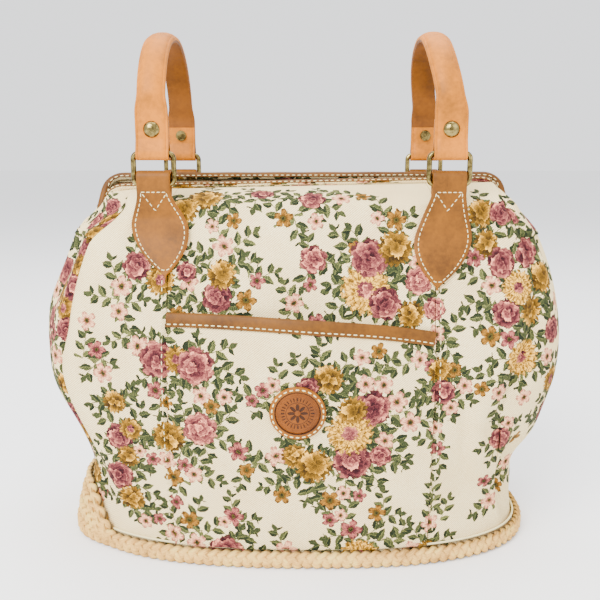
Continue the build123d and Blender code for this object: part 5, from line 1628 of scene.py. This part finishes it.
path = np.concatenate([base, np.full((piping["steps"], 1), piping["height"])], 1)
tangent = tangentsOf(path, True)
outward = np.cross(tangent, np.array([0, 0, 1.0]))
upright = np.broadcast_to(np.array([0, 0, 1.0]), path.shape)
cord = roundProfile(piping["radius"], piping["radius"], 12)
made = sweepMesh("footPiping", path, outward, upright, cord, closed=True)
made.data.materials.append(thread)
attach(made, "bag")
print("straw made")

# Topstitching beside the two front seams, up to the tabs.
topstitch = {"beside": 3.8, "top": 222.0, "pitch": 5.4}
for side, word in ((-1, "left"), (1, "right")):
    z = np.linspace(18, 262, 245)
    z = z[z < topstitch["top"]]
    x = side * (body["seam"] + topstitch["beside"]) + 0 * z
    line = np.stack([x, -clothDepth(x, z, -1, 0.4) - 0.1, z], -1)
    normals = np.broadcast_to(np.array([side * 0.25, -1.0, 0.05]), line.shape)
    sewRow(f"{word}SeamStitches", line, normals, topstitch["pitch"], 3.4, 0.42)

# Pieces that stay as the frame has them: metal and the board.
for name, node in nodes.items():
    if node.hide_render or node.type != "MESH":
        continue
    if name.endswith(("_ring", "_rivets", "_pin")):
        look = brass
    elif name.endswith("_bow"):
        look = wire
    elif name == "base_board":
        look = boardWeave
    else:
        print("left as it is:", name)
        continue
    node.data.materials.clear()
    node.data.materials.append(look)
    node.data.polygons.foreach_set("use_smooth", np.ones(len(node.data.polygons), bool))
    node.data.set_sharp_from_angle(angle=math.radians(40))
print("metal finished")

# Camera, floor and light.
view = {
    "lens": 42.6, "distance": 0.587, "height": 0.304, "pitch": 10.9, "azimuth": 0.8, "centreX": -0.0017,
}
cameraData = bpy.data.cameras.new("camera")
camera = bpy.data.objects.new("camera", cameraData)
bpy.context.scene.collection.objects.link(camera)
cameraData.lens = view["lens"]
cameraData.sensor_width = 36
cameraData.clip_start = 0.01
turn = math.radians(view["azimuth"])
away = view["distance"]
camera.location = (view["centreX"] + away * math.sin(turn), -away * math.cos(turn), view["height"])
camera.rotation_euler = (math.radians(90 - view["pitch"]), 0, turn)
bpy.context.scene.camera = camera

floorMesh = bpy.data.meshes.new("floor")
floorMesh.from_pydata([(-30, -30, 0), (30, -30, 0), (30, 30, 0), (-30, 30, 0)], [], [(0, 1, 2, 3)])
floor = placeMesh("floor", floorMesh)
floorMaterial, s, shader = newMaterial("paleFloor")
shader.inputs["Base Color"].default_value = (0.93, 0.93, 0.93, 1)
shader.inputs["Roughness"].default_value = 0.8
floorMesh.materials.append(floorMaterial)
floor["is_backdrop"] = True

world = bpy.data.worlds.new("studio")
bpy.context.scene.world = world
world.use_nodes = True
world.node_tree.nodes["Background"].inputs[0].default_value = (0.97, 0.98, 1.0, 1)
world.node_tree.nodes["Background"].inputs[1].default_value = 1.75
lights = {
    "key": {"place": (-0.9, -1.5, 1.6), "size": 1.4, "power": 120.0},
    "fill": {"place": (1.3, -1.1, 1.0), "size": 1.6, "power": 16.0},
    "top": {"place": (0.1, 0.4, 1.9), "size": 1.6, "power": 38.0},
}
for name, values in lights.items():
    data = bpy.data.lights.new(name, "AREA")
    data.energy = values["power"]
    data.size = values["size"]
    lamp = bpy.data.objects.new(name, data)
    bpy.context.scene.collection.objects.link(lamp)
    lamp.location = values["place"]
    aim = Vector((0, 0, 0.16)) - Vector(values["place"])
    lamp.rotation_euler = aim.to_track_quat("-Z", "Y").to_euler()
    lamp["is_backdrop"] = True
print("camera and light set")

low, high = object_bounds()
print("size", [round(float(v), 4) for v in low], [round(float(v), 4) for v in high])
